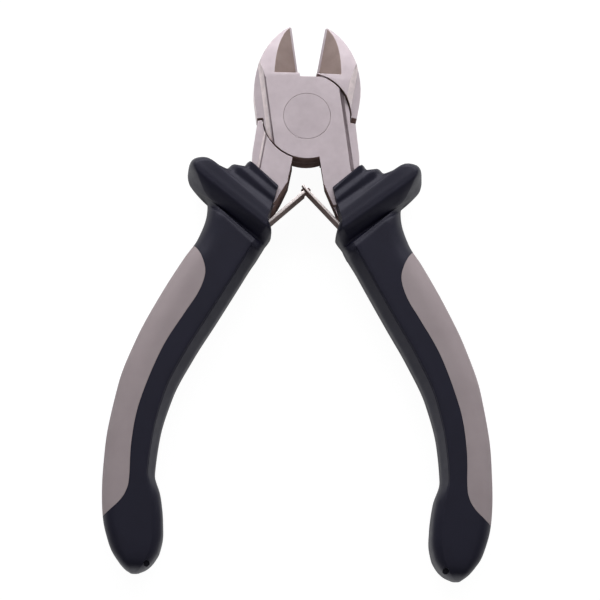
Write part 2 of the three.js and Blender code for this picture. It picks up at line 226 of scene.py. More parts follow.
@dataclass(frozen=True)
class Finish:
    """A surface: two close tints, a roughness range and a fine relief.

    Attributes:
        name: the material's name.
        dark, light: linear tints that large soft patches run between.
        patch: patches per metre.
        metallic: 1 for bare metal.
        rough: lowest and highest roughness.
        grain: relief grains per metre.
        relief: relief height in metres.
        stretch: how much longer the grain is along X, Y and Z.
        edge_gain: how much lighter the edges are, partly as wear and partly as a painted highlight.
        edge_reach: how far from an edge the wear and painted highlight reach, in metres.
        edge_rise: how fast the wear and painted highlight rise.
        blotch: how many times finer the roughness varies than the tint.
        specular: the coating's or plastic's specular level.
        gloss_tint: tint of its gloss.
    """

    name: str
    dark: Colour
    light: Colour
    patch: float
    metallic: float
    rough: tuple[float, float]
    grain: float
    relief: float
    stretch: tuple[float, float, float] = (1.0, 1.0, 1.0)
    edge_gain: float = 0.0
    edge_reach: float = 0.3 * MM
    edge_rise: float = 4.0
    blotch: float = 3.7
    specular: float = 0.5
    gloss_tint: Colour = (1.0, 1.0, 1.0)

    def material(self) -> Material:
        """Build the finish, or return it if it is already there.

        Returns:
            The material with its nodes.
        """
        known = bpy.data.materials.get(self.name)
        if known:
            return known
        material = bpy.data.materials.new(self.name)
        material.use_nodes = True
        sheet = NodeSheet(material.node_tree)
        place = sheet.add("ShaderNodeTexCoord").outputs["Object"]
        drawn = sheet.add("ShaderNodeMapping", {"Vector": place})
        drawn.inputs["Scale"].default_value = tuple(1 / share for share in self.stretch)
        patches = sheet.noise(place, self.patch, 4.0)
        grain = sheet.noise(drawn.outputs[0], self.grain, 3.0)
        colour = sheet.tint(sheet.remap(patches, 0.0, 1.0), self.dark, self.light)
        # Lighter edges: partly wear, partly a painted highlight that also lights concave edges.
        if self.edge_gain:
            wear_and_highlight = sheet.edge_mask(self.edge_reach, self.edge_rise)
            bright = tuple(min(1.0, part * (1 + self.edge_gain)) for part in self.light)
            mix = sheet.add("ShaderNodeMix", {0: wear_and_highlight, 6: colour}, data_type="RGBA")
            mix.inputs[7].default_value = (*bright, 1)
            colour = mix.outputs[2]
        blotches = sheet.noise(place, self.patch * self.blotch, 5.0)
        inputs = {"Height": grain, "Strength": 1.0, "Distance": self.relief}
        bump = sheet.add("ShaderNodeBump", inputs)
        shader = sheet.add("ShaderNodeBsdfPrincipled", {
            "Base Color": colour,
            "Metallic": self.metallic,
            "Roughness": sheet.remap(blotches, *self.rough),
            "Specular IOR Level": self.specular,
            "Specular Tint": (*self.gloss_tint, 1),
            "Normal": bump.outputs[0],
        })
        sheet.add("ShaderNodeOutputMaterial", {"Surface": shader.outputs[0]})
        return material


# Satin steel, with edges lighter partly from wear and partly as a painted highlight.
SATIN_STEEL = Finish(
    "satin_steel", linear(205, 195, 200), linear(213, 203, 208), patch=160.0, metallic=1.0,
    rough=(0.72, 0.80), grain=5200.0, relief=0.004 * MM, edge_gain=0.15,
)
# Cast skin, tinted lighter partly as a painted highlight on the strips that face the lit side.
CAST_AND_HIGHLIGHT_STEEL = Finish(
    "cast_steel_and_painted_highlight", linear(226, 215, 217), linear(244, 233, 234), patch=700.0, metallic=1.0,
    rough=(0.56, 0.68), grain=1500.0, relief=0.03 * MM, edge_gain=0.15,
)
# Painted shade: darker steel for the strip that faces away from the light and a line beside the plateau.
STRIP_SHADE_STEEL = Finish(
    "strip_painted_shade", linear(134, 122, 127), linear(156, 143, 148), patch=800.0, metallic=1.0,
    rough=(0.50, 0.62), grain=1500.0, relief=0.03 * MM,
)
# Ground finish with grind lines, tinted darker as painted shade.
GROUND_STEEL_AND_SHADE = Finish(
    "ground_steel_and_painted_shade", linear(152, 135, 131), linear(164, 147, 142), patch=300.0, metallic=1.0,
    rough=(0.50, 0.58), grain=7000.0, relief=0.004 * MM, stretch=(14.0, 1.0, 1.0),
)
# Painted shade: a dark brown for the sideways faces of the forging.
FLANK_SHADE_FINISH = Finish(
    "flank_painted_shade", linear(126, 104, 100), linear(158, 134, 128), patch=420.0, metallic=0.0,
    rough=(0.74, 0.84), grain=3000.0, relief=0.008 * MM, specular=0.1,
)
RIVET_STEEL = Finish(
    "peened_steel", linear(202, 192, 197), linear(210, 200, 205), patch=160.0, metallic=1.0,
    rough=(0.72, 0.80), grain=5200.0, relief=0.004 * MM,
)
SPRING_STEEL = Finish(
    "leaf_steel", linear(138, 116, 112), linear(160, 138, 132), patch=500.0, metallic=0.0,
    rough=(0.50, 0.60), grain=9000.0, relief=0.002 * MM, stretch=(6.0, 6.0, 1.0), specular=0.12,
)
# Bare sheared edges, tinted near white partly as a painted highlight.
SHEARED_AND_HIGHLIGHT_STEEL = Finish(
    "sheared_edge_and_painted_highlight", linear(246, 236, 235), linear(252, 243, 242), patch=500.0, metallic=1.0,
    rough=(0.50, 0.60), grain=9000.0, relief=0.002 * MM,
)
MOULDED_PLASTIC = Finish(
    "moulded_plastic", linear(14, 14, 31), linear(18, 18, 36), patch=140.0, metallic=0.0,
    rough=(0.44, 0.52), grain=3600.0, relief=0.010 * MM, specular=0.38, gloss_tint=(0.9, 0.88, 1.0),
)
SOFT_RUBBER = Finish(
    "soft_rubber", linear(156, 144, 147), linear(165, 153, 156), patch=120.0, metallic=0.0,
    rough=(0.66, 0.78), grain=4200.0, relief=0.010 * MM, specular=0.3,
)


def new_object(name: str, mesh: Mesh) -> Object:
    """Put a mesh in the scene as an object at the origin.

    Args:
        name: the object's name.
        mesh: its mesh.

    Returns:
        The new object.
    """
    thing = bpy.data.objects.new(name, mesh)
    bpy.context.scene.collection.objects.link(thing)
    return thing


def discard(thing: Object) -> None:
    """Remove a helper object and its mesh.

    Args:
        thing: the helper, used by nothing else.
    """
    mesh = thing.data
    bpy.data.objects.remove(thing)
    bpy.data.meshes.remove(mesh)


@contextmanager
def editing(mesh: Mesh) -> Iterator[bmesh.types.BMesh]:
    """Open a mesh for editing and write the result back.

    Args:
        mesh: the mesh that changes.

    Yields:
        Its editable form.
    """
    work = bmesh.new()
    work.from_mesh(mesh)
    yield work
    work.to_mesh(mesh)
    work.free()


def tidy_mesh(mesh: Mesh, merge: float) -> None:
    """Merge near points and turn every face outwards.

    Args:
        mesh: a closed mesh.
        merge: the distance under which points are merged, in the mesh's units.
    """
    with editing(mesh) as work:
        bmesh.ops.remove_doubles(work, verts=work.verts, dist=merge)
        bmesh.ops.recalc_face_normals(work, faces=work.faces)


def closed_shape(name: str, points: list, faces: list) -> Object:
    """Make an object from points and faces, with its faces outwards.

    Args:
        name: the object's name.
        points: its corners.
        faces: the numbers of each face's corners.

    Returns:
        The closed shape.
    """
    mesh = bpy.data.meshes.new(name)
    mesh.from_pydata([tuple(point) for point in points], [], faces)
    tidy_mesh(mesh, MERGE)
    return new_object(name, mesh)


def prism(name: str, outline: list[Point], low: float, high: float) -> Object:
    """Raise a plan outline between two heights.

    Args:
        name: the object's name.
        outline: its corners in order.
        low, high: the heights of its two faces.

    Returns:
        The closed prism.
    """
    count = len(outline)
    points = [(x, y, z) for z in (low, high) for x, y in outline]
    sides = [(i, (i + 1) % count, count + (i + 1) % count, count + i) for i in range(count)]
    return closed_shape(name, points, [tuple(range(count)), tuple(range(count, 2 * count)), *sides])


def lofted(name: str, rings: list) -> Object:
    """Stretch a closed skin over rings with the same number of points.

    Args:
        name: the object's name.
        rings: the rings in order, each a list of points.

    Returns:
        The closed shape.
    """
    count = len(rings[0])
    points = [point for ring in rings for point in ring]
    faces = [tuple(range(count)), tuple(range(len(points) - count, len(points)))]
    for start in range(0, len(points) - count, count):
        for i in range(count):
            j = (i + 1) % count
            faces.append((start + i, start + j, start + count + j, start + count + i))
    return closed_shape(name, points, faces)


def round_bar(
    name: str, centre: Point, radius: float, low: float, high: float, count: int,
) -> Object:
    """A round prism along Z.

    Args:
        name: the object's name.
        centre: its axis in plan.
        radius: its radius.
        low, high: the heights of its two faces.
        count: facets round it.

    Returns:
        The closed prism.
    """
    turns = [2 * math.pi * i / count for i in range(count)]
    outline = [(centre[0] + radius * math.cos(t), centre[1] + radius * math.sin(t)) for t in turns]
    return prism(name, outline, low, high)


def baked(thing: Object) -> Mesh:
    """Apply an object's modifiers and clear them.

    Args:
        thing: the object, which keeps the result.

    Returns:
        Its new plain mesh.
    """
    bpy.context.view_layer.update()
    graph = bpy.context.evaluated_depsgraph_get()
    mesh = bpy.data.meshes.new_from_object(thing.evaluated_get(graph), depsgraph=graph)
    old = thing.data
    thing.modifiers.clear()
    thing.data = mesh
    mesh.name = thing.name
    if old.users == 0 and isinstance(old, Mesh):
        bpy.data.meshes.remove(old)
    return mesh


def combine(thing: Object, tool: Object, how: Cut) -> Object:
    """Work one closed shape on another and remove the tool.

    Args:
        thing: the shape that changes.
        tool: the shape that cuts, keeps or joins.
        how: what is done.

    Returns:
        The changed shape.
    """
    step = thing.modifiers.new(how.name.lower(), "BOOLEAN")
    step.operation = how.value
    step.solver = "EXACT"
    step.object = tool
    baked(thing)
    discard(tool)
    return thing


def smooth(mesh: Mesh, angle: float) -> None:
    """Shade a mesh smooth, with edges sharper than an angle in degrees kept sharp."""
    mesh.shade_smooth()
    mesh.set_sharp_from_angle(angle=math.radians(angle))


def round_edges(thing: Object, width: float, angle: float) -> BevelModifier:
    """Round the edges of a piece that are sharper than an angle.

    Args:
        thing: the piece, in metres.
        width: width of the rounding, in millimetres.
        angle: the angle, in degrees.

    Returns:
        The modifier, for its other settings.
    """
    bevel = thing.modifiers.new("edges", "BEVEL")
    bevel.width = width * MM
    bevel.segments = 2
    bevel.limit_method = "ANGLE"
    bevel.angle_limit = math.radians(angle)
    return bevel


def catmull_rom(rows: np.ndarray, steps: int) -> np.ndarray:
    """Rows on a smooth curve through the given ones.

    Args:
        rows: one row of values for each place on the curve.
        steps: how many rows each stretch becomes.

    Returns:
        The denser rows, the given ones among them.
    """
    padded = np.vstack([2 * rows[0] - rows[1], rows, 2 * rows[-1] - rows[-2]])
    dense = []
    for i in range(1, len(padded) - 2):
        a, b, c, d = padded[i - 1 : i + 3]
        for k in range(steps):
            t = k / steps
            square = (2 * a - 5 * b + 4 * c - d) * t**2
            cube = (3 * b - a - 3 * c + d) * t**3
            dense.append(((2 * b) + (c - a) * t + square + cube) / 2)
    return np.array([*dense, rows[-1]])


def steady_rows(rows: np.ndarray, spacing: float, most: int) -> np.ndarray:
    """Rows on a curve through the given ones that never swings past them.

    Args:
        rows: the sections' numbers, with their two ends in plan first.
        spacing: distance between two rows.
        most: the most rows that one stretch becomes.

    Returns:
        The denser rows, the given ones among them.
    """
    middle = (rows[:, 0:2] + rows[:, 2:4]) / 2
    step = np.linalg.norm(np.diff(middle, axis=0), axis=1)[:, None]
    slope = np.diff(rows, axis=0) / step
    before, after = slope[:-1], slope[1:]
    near, far = 2 * step[1:] + step[:-1], step[1:] + 2 * step[:-1]
    turns = before * after <= 0
    safe_before, safe_after = np.where(turns, 1.0, before), np.where(turns, 1.0, after)
    mean = (near + far) / (near / safe_before + far / safe_after)
    tangent = np.vstack([slope[:1], np.where(turns, 0.0, mean), slope[-1:]])
    dense = []
    for i in range(len(rows) - 1):
        count = max(2, min(most, round(float(step[i, 0]) / spacing)))
        for k in range(count):
            t = k / count
            start = (1 + 2 * t) * (1 - t) ** 2 * rows[i] + t * (1 - t) ** 2 * step[i] * tangent[i]
            end = t**2 * (3 - 2 * t) * rows[i + 1] + t**2 * (t - 1) * step[i] * tangent[i + 1]
            dense.append(start + end)
    return np.array([*dense, rows[-1]])


def grown(outline: list[Point], distance: float) -> list[Point]:
    """Move an outline outwards, with mitred corners.

    Args:
        outline: its corners, anticlockwise.
        distance: how far each side moves.

    Returns:
        The moved corners.
    """
    shortest = 0.5
    moved = []
    for i, (x, y) in enumerate(outline):
        before = Vector(outline[i - 1])
        after = Vector(outline[(i + 1) % len(outline)])
        into = (Vector((x, y)) - before).normalized()
        out = (after - Vector((x, y))).normalized()
        mitre = Vector((into.y + out.y, -into.x - out.x)).normalized()
        reach = max(shortest, mitre.x * into.y - mitre.y * into.x)
        moved.append((x + mitre.x * distance / reach, y + mitre.y * distance / reach))
    return moved


def finish_piece(thing: Object, node: str, body: str) -> None:
    """Tie a finished piece to the frame.

    Args:
        thing: the piece.
        node: the solid that it stands for.
        body: the body that it rides on.
    """
    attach(thing, body)
    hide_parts(node)
    log.info("%s rides on %s: %d faces", thing.name, body, len(thing.data.polygons))


@dataclass
class JawLever:
    """One steel forging: a jaw, half of the lap joint and a tang.

    Attributes:
        side: the lever.
        node: the solid that gives the forging its form.
        recess_up: 1 where the ground recess faces the closed frame's front, -1 for its back.
        flank_lean: how far the tang's inner flank stands out at the back, below 0 where it falls back.
        lean_top: where the leaning flank starts below the joint.
        edge, edge_angle: rounding of its edges, and the degrees over which an edge is rounded.
        recess_tilt: the recess's direction across and up.
        recess_low: where the recess ends above the joint.
        ledge: half of the width of the ledge below the recess.
        plateau: half of the plateau's width, where the flank strips start.
        strip_width: how far from the plateau a strip gets sunk lines.
        strip_reach, shade_line_reach: how far from the plateau a strip's finish reaches, and the line of
            painted shade along the plateau's edge.
        strip_cuts: sunk lines along a strip, each with its distance from the plateau and its depth.
        joint_side: distance across beyond which the forging's outside is rough, with a lighter tint that is
            partly a painted highlight.
        tang_edge: the tang's inner edge, each point with the width of its chamfer.
        chamfer_depth: how far down the flank the chamfer reaches.
        lean_root: the tang's inner edge across, at the joint.
        lean_edge: the rest of the tang's inner edge that leans.
        lean_inset: how far a leaning flank that stands out stays inside the joint's faces.
        collar_top: where the tang goes into the grip and gets lower.
        tang_half: half of the leaning flank's height inside the grip.
        bite: how far a wedge reaches into the forging or past its faces.
        clear: how far a cutter stands clear of the forging.
        shoulder: the jaw's lower end outside the joint, where the rear lever has more play.
        flank_band, flank_top: where the tang's inner flank lies across, and its upper end.
        flank_tilt: how far a face of that flank turns inwards at least.
        collar_reach: how far across the tang gets painted shade inside the collar.
    """

    side: Side
    node: str
    recess_up: float
    flank_lean: float
    lean_top: float
    edge: float = 0.12
    edge_angle: float = 24.0
    recess_tilt: Point = (0.597, 0.802)
    recess_low: float = 9.2
    ledge: float = 7.0
    plateau: float = 7.8
    strip_width: float = 1.5
    strip_reach: float = 1.6
    shade_line_reach: float = 0.2
    strip_cuts: tuple[Point, ...] = ((0.3, 0.27), (0.8, 0.22))
    joint_side: float = 9.0
    tang_edge: tuple[tuple[float, float, float], ...] = (
        (1.44, -14.6, -0.06), (2.4, -18.6, 0.45), (3.18, -21.2, 0.7), (4.2, -24.6, 0.7),
    )
    chamfer_depth: float = 3.2
    lean_root: float = 1.4
    lean_edge: tuple[Point, ...] = ((1.5, -15.2), (2.4, -18.6), (2.91, -20.3), (2.97, -20.5), (3.95, -23.8))
    lean_inset: float = 0.3
    collar_top: float = -20.4
    tang_half: float = 2.9
    bite: float = 0.5
    clear: float = 2.0
    shoulder: Point = (9.62, 1.78)
    flank_band: Point = (1.0, 5.0)
    flank_top: float = -14.0
    flank_tilt: float = -0.08
    collar_reach: float = 5.2

    @staticmethod
    def slopes(normal: Vector) -> bool:
        """True for a face that slopes down sideways."""
        least_across, least_up = 0.3, 0.35
        return abs(normal.x) > least_across and abs(normal.z) > least_up

    def on_strip(self, face: bmesh.types.BMFace) -> bool:
        """True for a face of a flank strip that gets sunk lines.

        Args:
            face: the face, in millimetres.

        Returns:
            Whether it lies on such a strip.
        """
        most_tilt, slack = 0.1, 0.1
        across = [abs(vert.co.x) - self.plateau for vert in face.verts]
        beside_joint = self.side is Side.FRONT or face.calc_center_median().y < 0
        level = abs(face.normal.y) < most_tilt
        within = -slack < min(across) and max(across) < self.strip_width
        return self.slopes(face.normal) and level and beside_joint and within

    def hollow_strips(self, work: bmesh.types.BMesh) -> None:
        """Sink lines along the flank strips, so that they curve in beside the plateau.

        Args:
            work: the forging's editable mesh, in millimetres.
        """
        for out, sink in self.strip_cuts:
            for sign in (-1, 1):
                strips = [face for face in work.faces if self.on_strip(face)]
                edges = {edge for face in strips for edge in face.edges}
                verts = {vert for face in strips for vert in face.verts}
                cut = bmesh.ops.bisect_plane(
                    work, geom=[*strips, *edges, *verts], dist=MERGE,
                    plane_co=(sign * (self.plateau + out), 0, 0), plane_no=(1, 0, 0),
                )
                for vert in cut["geom_cut"]:
                    if isinstance(vert, bmesh.types.BMVert):
                        vert.co.z -= math.copysign(sink, vert.co.z)

    def leaning_flank(self) -> Object:
        """Wedge along the tang's inner flank that makes it lean.

        Returns:
            The wedge to join, or to take away where the flank falls back.
        """
        lean, bite, clear = self.flank_lean, self.bite, self.clear
        sunk, proud = 0.03, 0.05
        rings = []
        for x, y in ((self.lean_root, self.lean_top), *self.lean_edge):
            if lean > 0:
                deep = JOINT_HALF - self.lean_inset if y > self.collar_top else self.tang_half
                section = [(x + sunk, -deep), (x + bite, -deep), (x + bite, deep), (x - lean, deep)]
            else:
                deep = JOINT_HALF + bite
                section = [(x - lean, -deep), (x - clear, -deep), (x - clear, deep), (x - proud, deep)]
            rings.append([(across, y, high) for across, high in section])
        return lofted("leaning_flank", rings)

    def chamfer(self) -> Object:
        """Wedge that takes off the edge between the rear tang's inner flank and the row frame's front.

        Returns:
            The wedge to take away.
        """
        depth, clear, past = self.chamfer_depth, self.clear, 1.0
        low, high = JOINT_HALF - depth - past, JOINT_HALF + past
        rings = []
        for x, y, width in self.tang_edge:
            top = (x + width * (1 + past / depth), high)
            section = [top, (x - width * past / depth, low), (x - clear, low), (x - clear, high)]
            rings.append([(across, y, -level) for across, level in section])
        return lofted("chamfer", rings)

    def shoulder_play(self) -> Object:
        """Block that takes off the lower end of the rear lever's jaw outside the joint.

        Returns:
            The block to take away.
        """
        out, top = self.shoulder
        low, beyond, through = 0.5, 14.0, 6.0
        corners = [(-beyond, low), (-out, low), (-out, top), (-beyond, top)]
        return prism("shoulder_play", corners, -through, through)

    def surface(self, face: bmesh.types.BMFace) -> Surface:
        """Choose the finish of a face in the closed lever frame.

        Args:
            face: the face, in millimetres.

        Returns:
            The finish.
        """
        recess_match, ledge_match, outward, upright = 0.99, 0.97, 0.5, 0.45
        normal = face.normal
        middle = face.calc_center_median()
        if middle.y > self.recess_low:
            across, up = self.recess_tilt
            on_recess = normal.dot(Vector((across, 0, up * self.recess_up))) > recess_match
            on_ledge = normal.y > ledge_match and abs(middle.x) < self.ledge
            # Recess and ledge: ground finish whose darker tint is painted shade.
            return Surface.GROUND if on_recess or on_ledge else Surface.SATIN
        beside = abs(middle.x) - self.plateau
        if self.slopes(normal) and 0 < beside < self.strip_reach:
            # Flank strips: painted shade on the front lever's right-hand strip and in a line beside the
            # plateau; elsewhere a lighter tint that is partly a painted highlight.
            shaded_side = self.side is Side.FRONT and middle.x > 0
            return Surface.STRIP_SHADE if shaded_side or beside < self.shade_line_reach else Surface.CAST
        # Outward faces of the joint: cast skin with a lighter tint, partly a painted highlight.
        if abs(middle.x) > self.joint_side and normal.x * math.copysign(1, middle.x) > outward:
            return Surface.CAST
        # Sideways faces, the inner flank and the tang inside the collar: a dark brown that is painted shade.
        low, high = self.flank_band
        turned_in = low < middle.x < high and middle.y < self.flank_top and normal.x < self.flank_tilt
        on_flank = abs(normal.z) < upright or turned_in
        in_collar = low < middle.x < self.collar_reach and middle.y < self.collar_top
        return Surface.DARK if on_flank or in_collar else Surface.SATIN

    def build(self, solids: dict[str, Object], room: Object) -> Object:
        """Make the forging from its solid, with rounded edges and a ground recess.

        Args:
            solids: the frame's nodes by name.
            room: the shape that its leaf spring needs, taken out of the tang.

        Returns:
            The finished piece.
        """
        name = "forging_left_jaw" if self.side is Side.FRONT else "forging_right_jaw"
        place = self.side.placement()
        mesh = solids[self.node].data.copy()
        mesh.transform(place.inverted())
        weld, flat = 1e-3, math.radians(0.6)
        with editing(mesh) as work:
            bmesh.ops.remove_doubles(work, verts=work.verts, dist=weld)
            bmesh.ops.dissolve_limit(work, angle_limit=flat, verts=work.verts, edges=work.edges)
            self.hollow_strips(work)
        forging = new_object(name, mesh)
        combine(forging, self.leaning_flank(), Cut.JOIN if self.flank_lean > 0 else Cut.TAKE_AWAY)
        tools = [room] if self.side is Side.FRONT else [self.chamfer(), room, self.shoulder_play()]
        for tool in tools:
            combine(forging, tool, Cut.TAKE_AWAY)
        mesh = forging.data
        mesh.materials.clear()
        for finish in (SATIN_STEEL, GROUND_STEEL_AND_SHADE, FLANK_SHADE_FINISH, CAST_AND_HIGHLIGHT_STEEL, STRIP_SHADE_STEEL):
            mesh.materials.append(finish.material())
        with editing(mesh) as work:
            for face in work.faces:
                face.material_index = self.surface(face)
        mesh.transform(place)
        bevel = round_edges(forging, self.edge, self.edge_angle)
        bevel.use_clamp_overlap = False
        bevel.miter_outer = "MITER_ARC"
        forging.modifiers.new("flats", "WEIGHTED_NORMAL").keep_sharp = True
        mesh.shade_smooth()
        baked(forging)
        finish_piece(forging, self.node, self.side.body)
        return forging


class FieldTree:
    """A Geometry Nodes tree with named sizes that ends in one plain mesh."""

    def __init__(self, name: str) -> None:
        """Start a tree that has only its output.

        Args:
            name: the tree's name.
        """
        self.tree = bpy.data.node_groups.new(name, "GeometryNodeTree")
        self.tree.interface.new_socket("Geometry", in_out="OUTPUT", socket_type="NodeSocketGeometry")
        self.sheet = NodeSheet(self.tree)
        self.source = self.sheet.add("NodeGroupInput")
        self.values: dict[str, object] = {}

    def size(self, name: str, value: float | int) -> NodeSocket:
        """Add a named size.

        Args:
            name: the input's name.
            value: a length in metres or a count.

        Returns:
            The socket that carries it.
        """
        kind = "NodeSocketInt" if isinstance(value, int) else "NodeSocketFloat"
        item = self.tree.interface.new_socket(name, in_out="INPUT", socket_type=kind)
        self.values[item.identifier] = value
        return self.source.outputs[name]

    def sum(self, a: object, b: object, how: str = "ADD") -> NodeSocket:
        """Work out a number from two."""
        return self.sheet.add("ShaderNodeMath", {0: a, 1: b}, operation=how).outputs[0]

    def vector(self, x: object = 0.0, y: object = 0.0, z: object = 0.0) -> NodeSocket:
        """Join three numbers as a vector."""
        return self.sheet.add("ShaderNodeCombineXYZ", {0: x, 1: y, 2: z}).outputs[0]

    def chosen(self, index: NodeSocket, values: list[NodeSocket]) -> NodeSocket:
        """The value at a place in a list.

        Args:
            index: the place, from 0.
            values: the sockets to choose from.

        Returns:
            The socket of the chosen value.
        """
        node = self.sheet.add("GeometryNodeIndexSwitch", {"Index": index}, data_type="FLOAT")
        while len(node.index_switch_items) < len(values):
            node.index_switch_items.new()
        for place, value in enumerate(values):
            self.tree.links.new(value, node.inputs[place + 1])
        return node.outputs[0]

    def joined(self, *shapes: NodeSocket) -> NodeSocket:
        """Unite closed shapes in one closed body.

        Args:
            shapes: the sockets of the shapes.

        Returns:
            The socket of the body.
        """
        node = self.sheet.add("GeometryNodeMeshBoolean", operation="UNION", solver="EXACT")
        for shape in shapes:
            self.tree.links.new(shape, node.inputs["Mesh 2"])
        return node.outputs[0]

    def mesh(self, name: str, shape: NodeSocket, finish: Finish) -> Object:
        """Close the tree, run it once and keep its result.

        Args:
            name: the finished object's name.
            shape: the geometry to keep.
            finish: its surface.

        Returns:
            An object with a plain mesh.
        """
        real = self.sheet.add("GeometryNodeRealizeInstances", {0: shape})
        dressed = self.sheet.add("GeometryNodeSetMaterial", {0: real.outputs[0]})
        dressed.inputs["Material"].default_value = finish.material()
        self.sheet.add("NodeGroupOutput", {0: dressed.outputs[0]})
        thing = new_object(name, bpy.data.meshes.new(name))
        step = thing.modifiers.new(name, "NODES")
        step.node_group = self.tree
        for identifier, value in self.values.items():
            step[identifier] = value
        mesh = baked(thing)
        mesh.materials.clear()
        mesh.materials.append(finish.material())
        mesh.polygons.foreach_set("material_index", [0] * len(mesh.polygons))
        return thing


@dataclass
class PivotRivet:
    """The flush rivet: a shank with a countersunk head at each end.

    Attributes:
        head: radius of the heads.
        shank: radius of the shank.
        head_depth: depth of a head.
        rim_depth: height of the straight rim.
        sides: facets round it.
        edge, edge_angle: rounding of the rim, and the degrees over which an edge is rounded.
        sharp: degrees over which an edge is shaded sharp.
    """

    head: float = 5.095
    shank: float = 3.4
    head_depth: float = 1.4
    rim_depth: float = 0.3
    sides: int = 128
    edge: float = 0.03
    edge_angle: float = 35.0
    sharp: float = 12.0

    def build(self) -> Object:
        """Sweep a ring along the rivet's axis, with the same head at both ends of the shank.

        Returns:
            The finished piece.
        """
        field = FieldTree("flush_rivet_rule")
        head = field.size("Head radius", self.head * MM)
        shank = field.size("Shank radius", self.shank * MM)
        depth = field.size("Head depth", self.head_depth * MM)
        rim = field.size("Rim depth", self.rim_depth * MM)
        half = field.size("Half length", JOINT_HALF * MM)
        sides = field.size("Sides", self.sides)
        sheet = field.sheet
        upper = [half, field.sum(half, rim, "SUBTRACT"), field.sum(half, depth, "SUBTRACT")]
        lower = [field.sum(level, -1.0, "MULTIPLY") for level in reversed(upper)]
        index = sheet.add("GeometryNodeInputIndex").outputs[0]
        level = field.chosen(index, [*upper, *lower])
        radius = field.chosen(index, [head, head, shank, shank, head, head])
        line = sheet.add("GeometryNodeMeshLine", {"Count": len(upper) + len(lower)})
        axis = sheet.add("GeometryNodeMeshToCurve", {0: line.outputs[0]})
        place = field.vector(z=level)
        placed = sheet.add("GeometryNodeSetPosition", {0: axis.outputs[0], "Position": place})
        ring = sheet.add("GeometryNodeCurvePrimitiveCircle", {"Resolution": sides, "Radius": 1.0})
        inputs = {"Curve": placed.outputs[0], "Profile Curve": ring.outputs[0], "Scale": radius}
        swept = sheet.add("GeometryNodeCurveToMesh", {**inputs, "Fill Caps": True})
        rivet = field.mesh("flush_rivet", swept.outputs[0], RIVET_STEEL)
        rivet.data.transform(Matrix.Translation((0, 0, JOINT_HALF * MM)))
        tidy_mesh(rivet.data, MERGE_METRES)
        round_edges(rivet, self.edge, self.edge_angle)
        baked(rivet)
        smooth(rivet.data, self.sharp)
        finish_piece(rivet, "pivot_rivet", Side.FRONT.body)
        return rivet


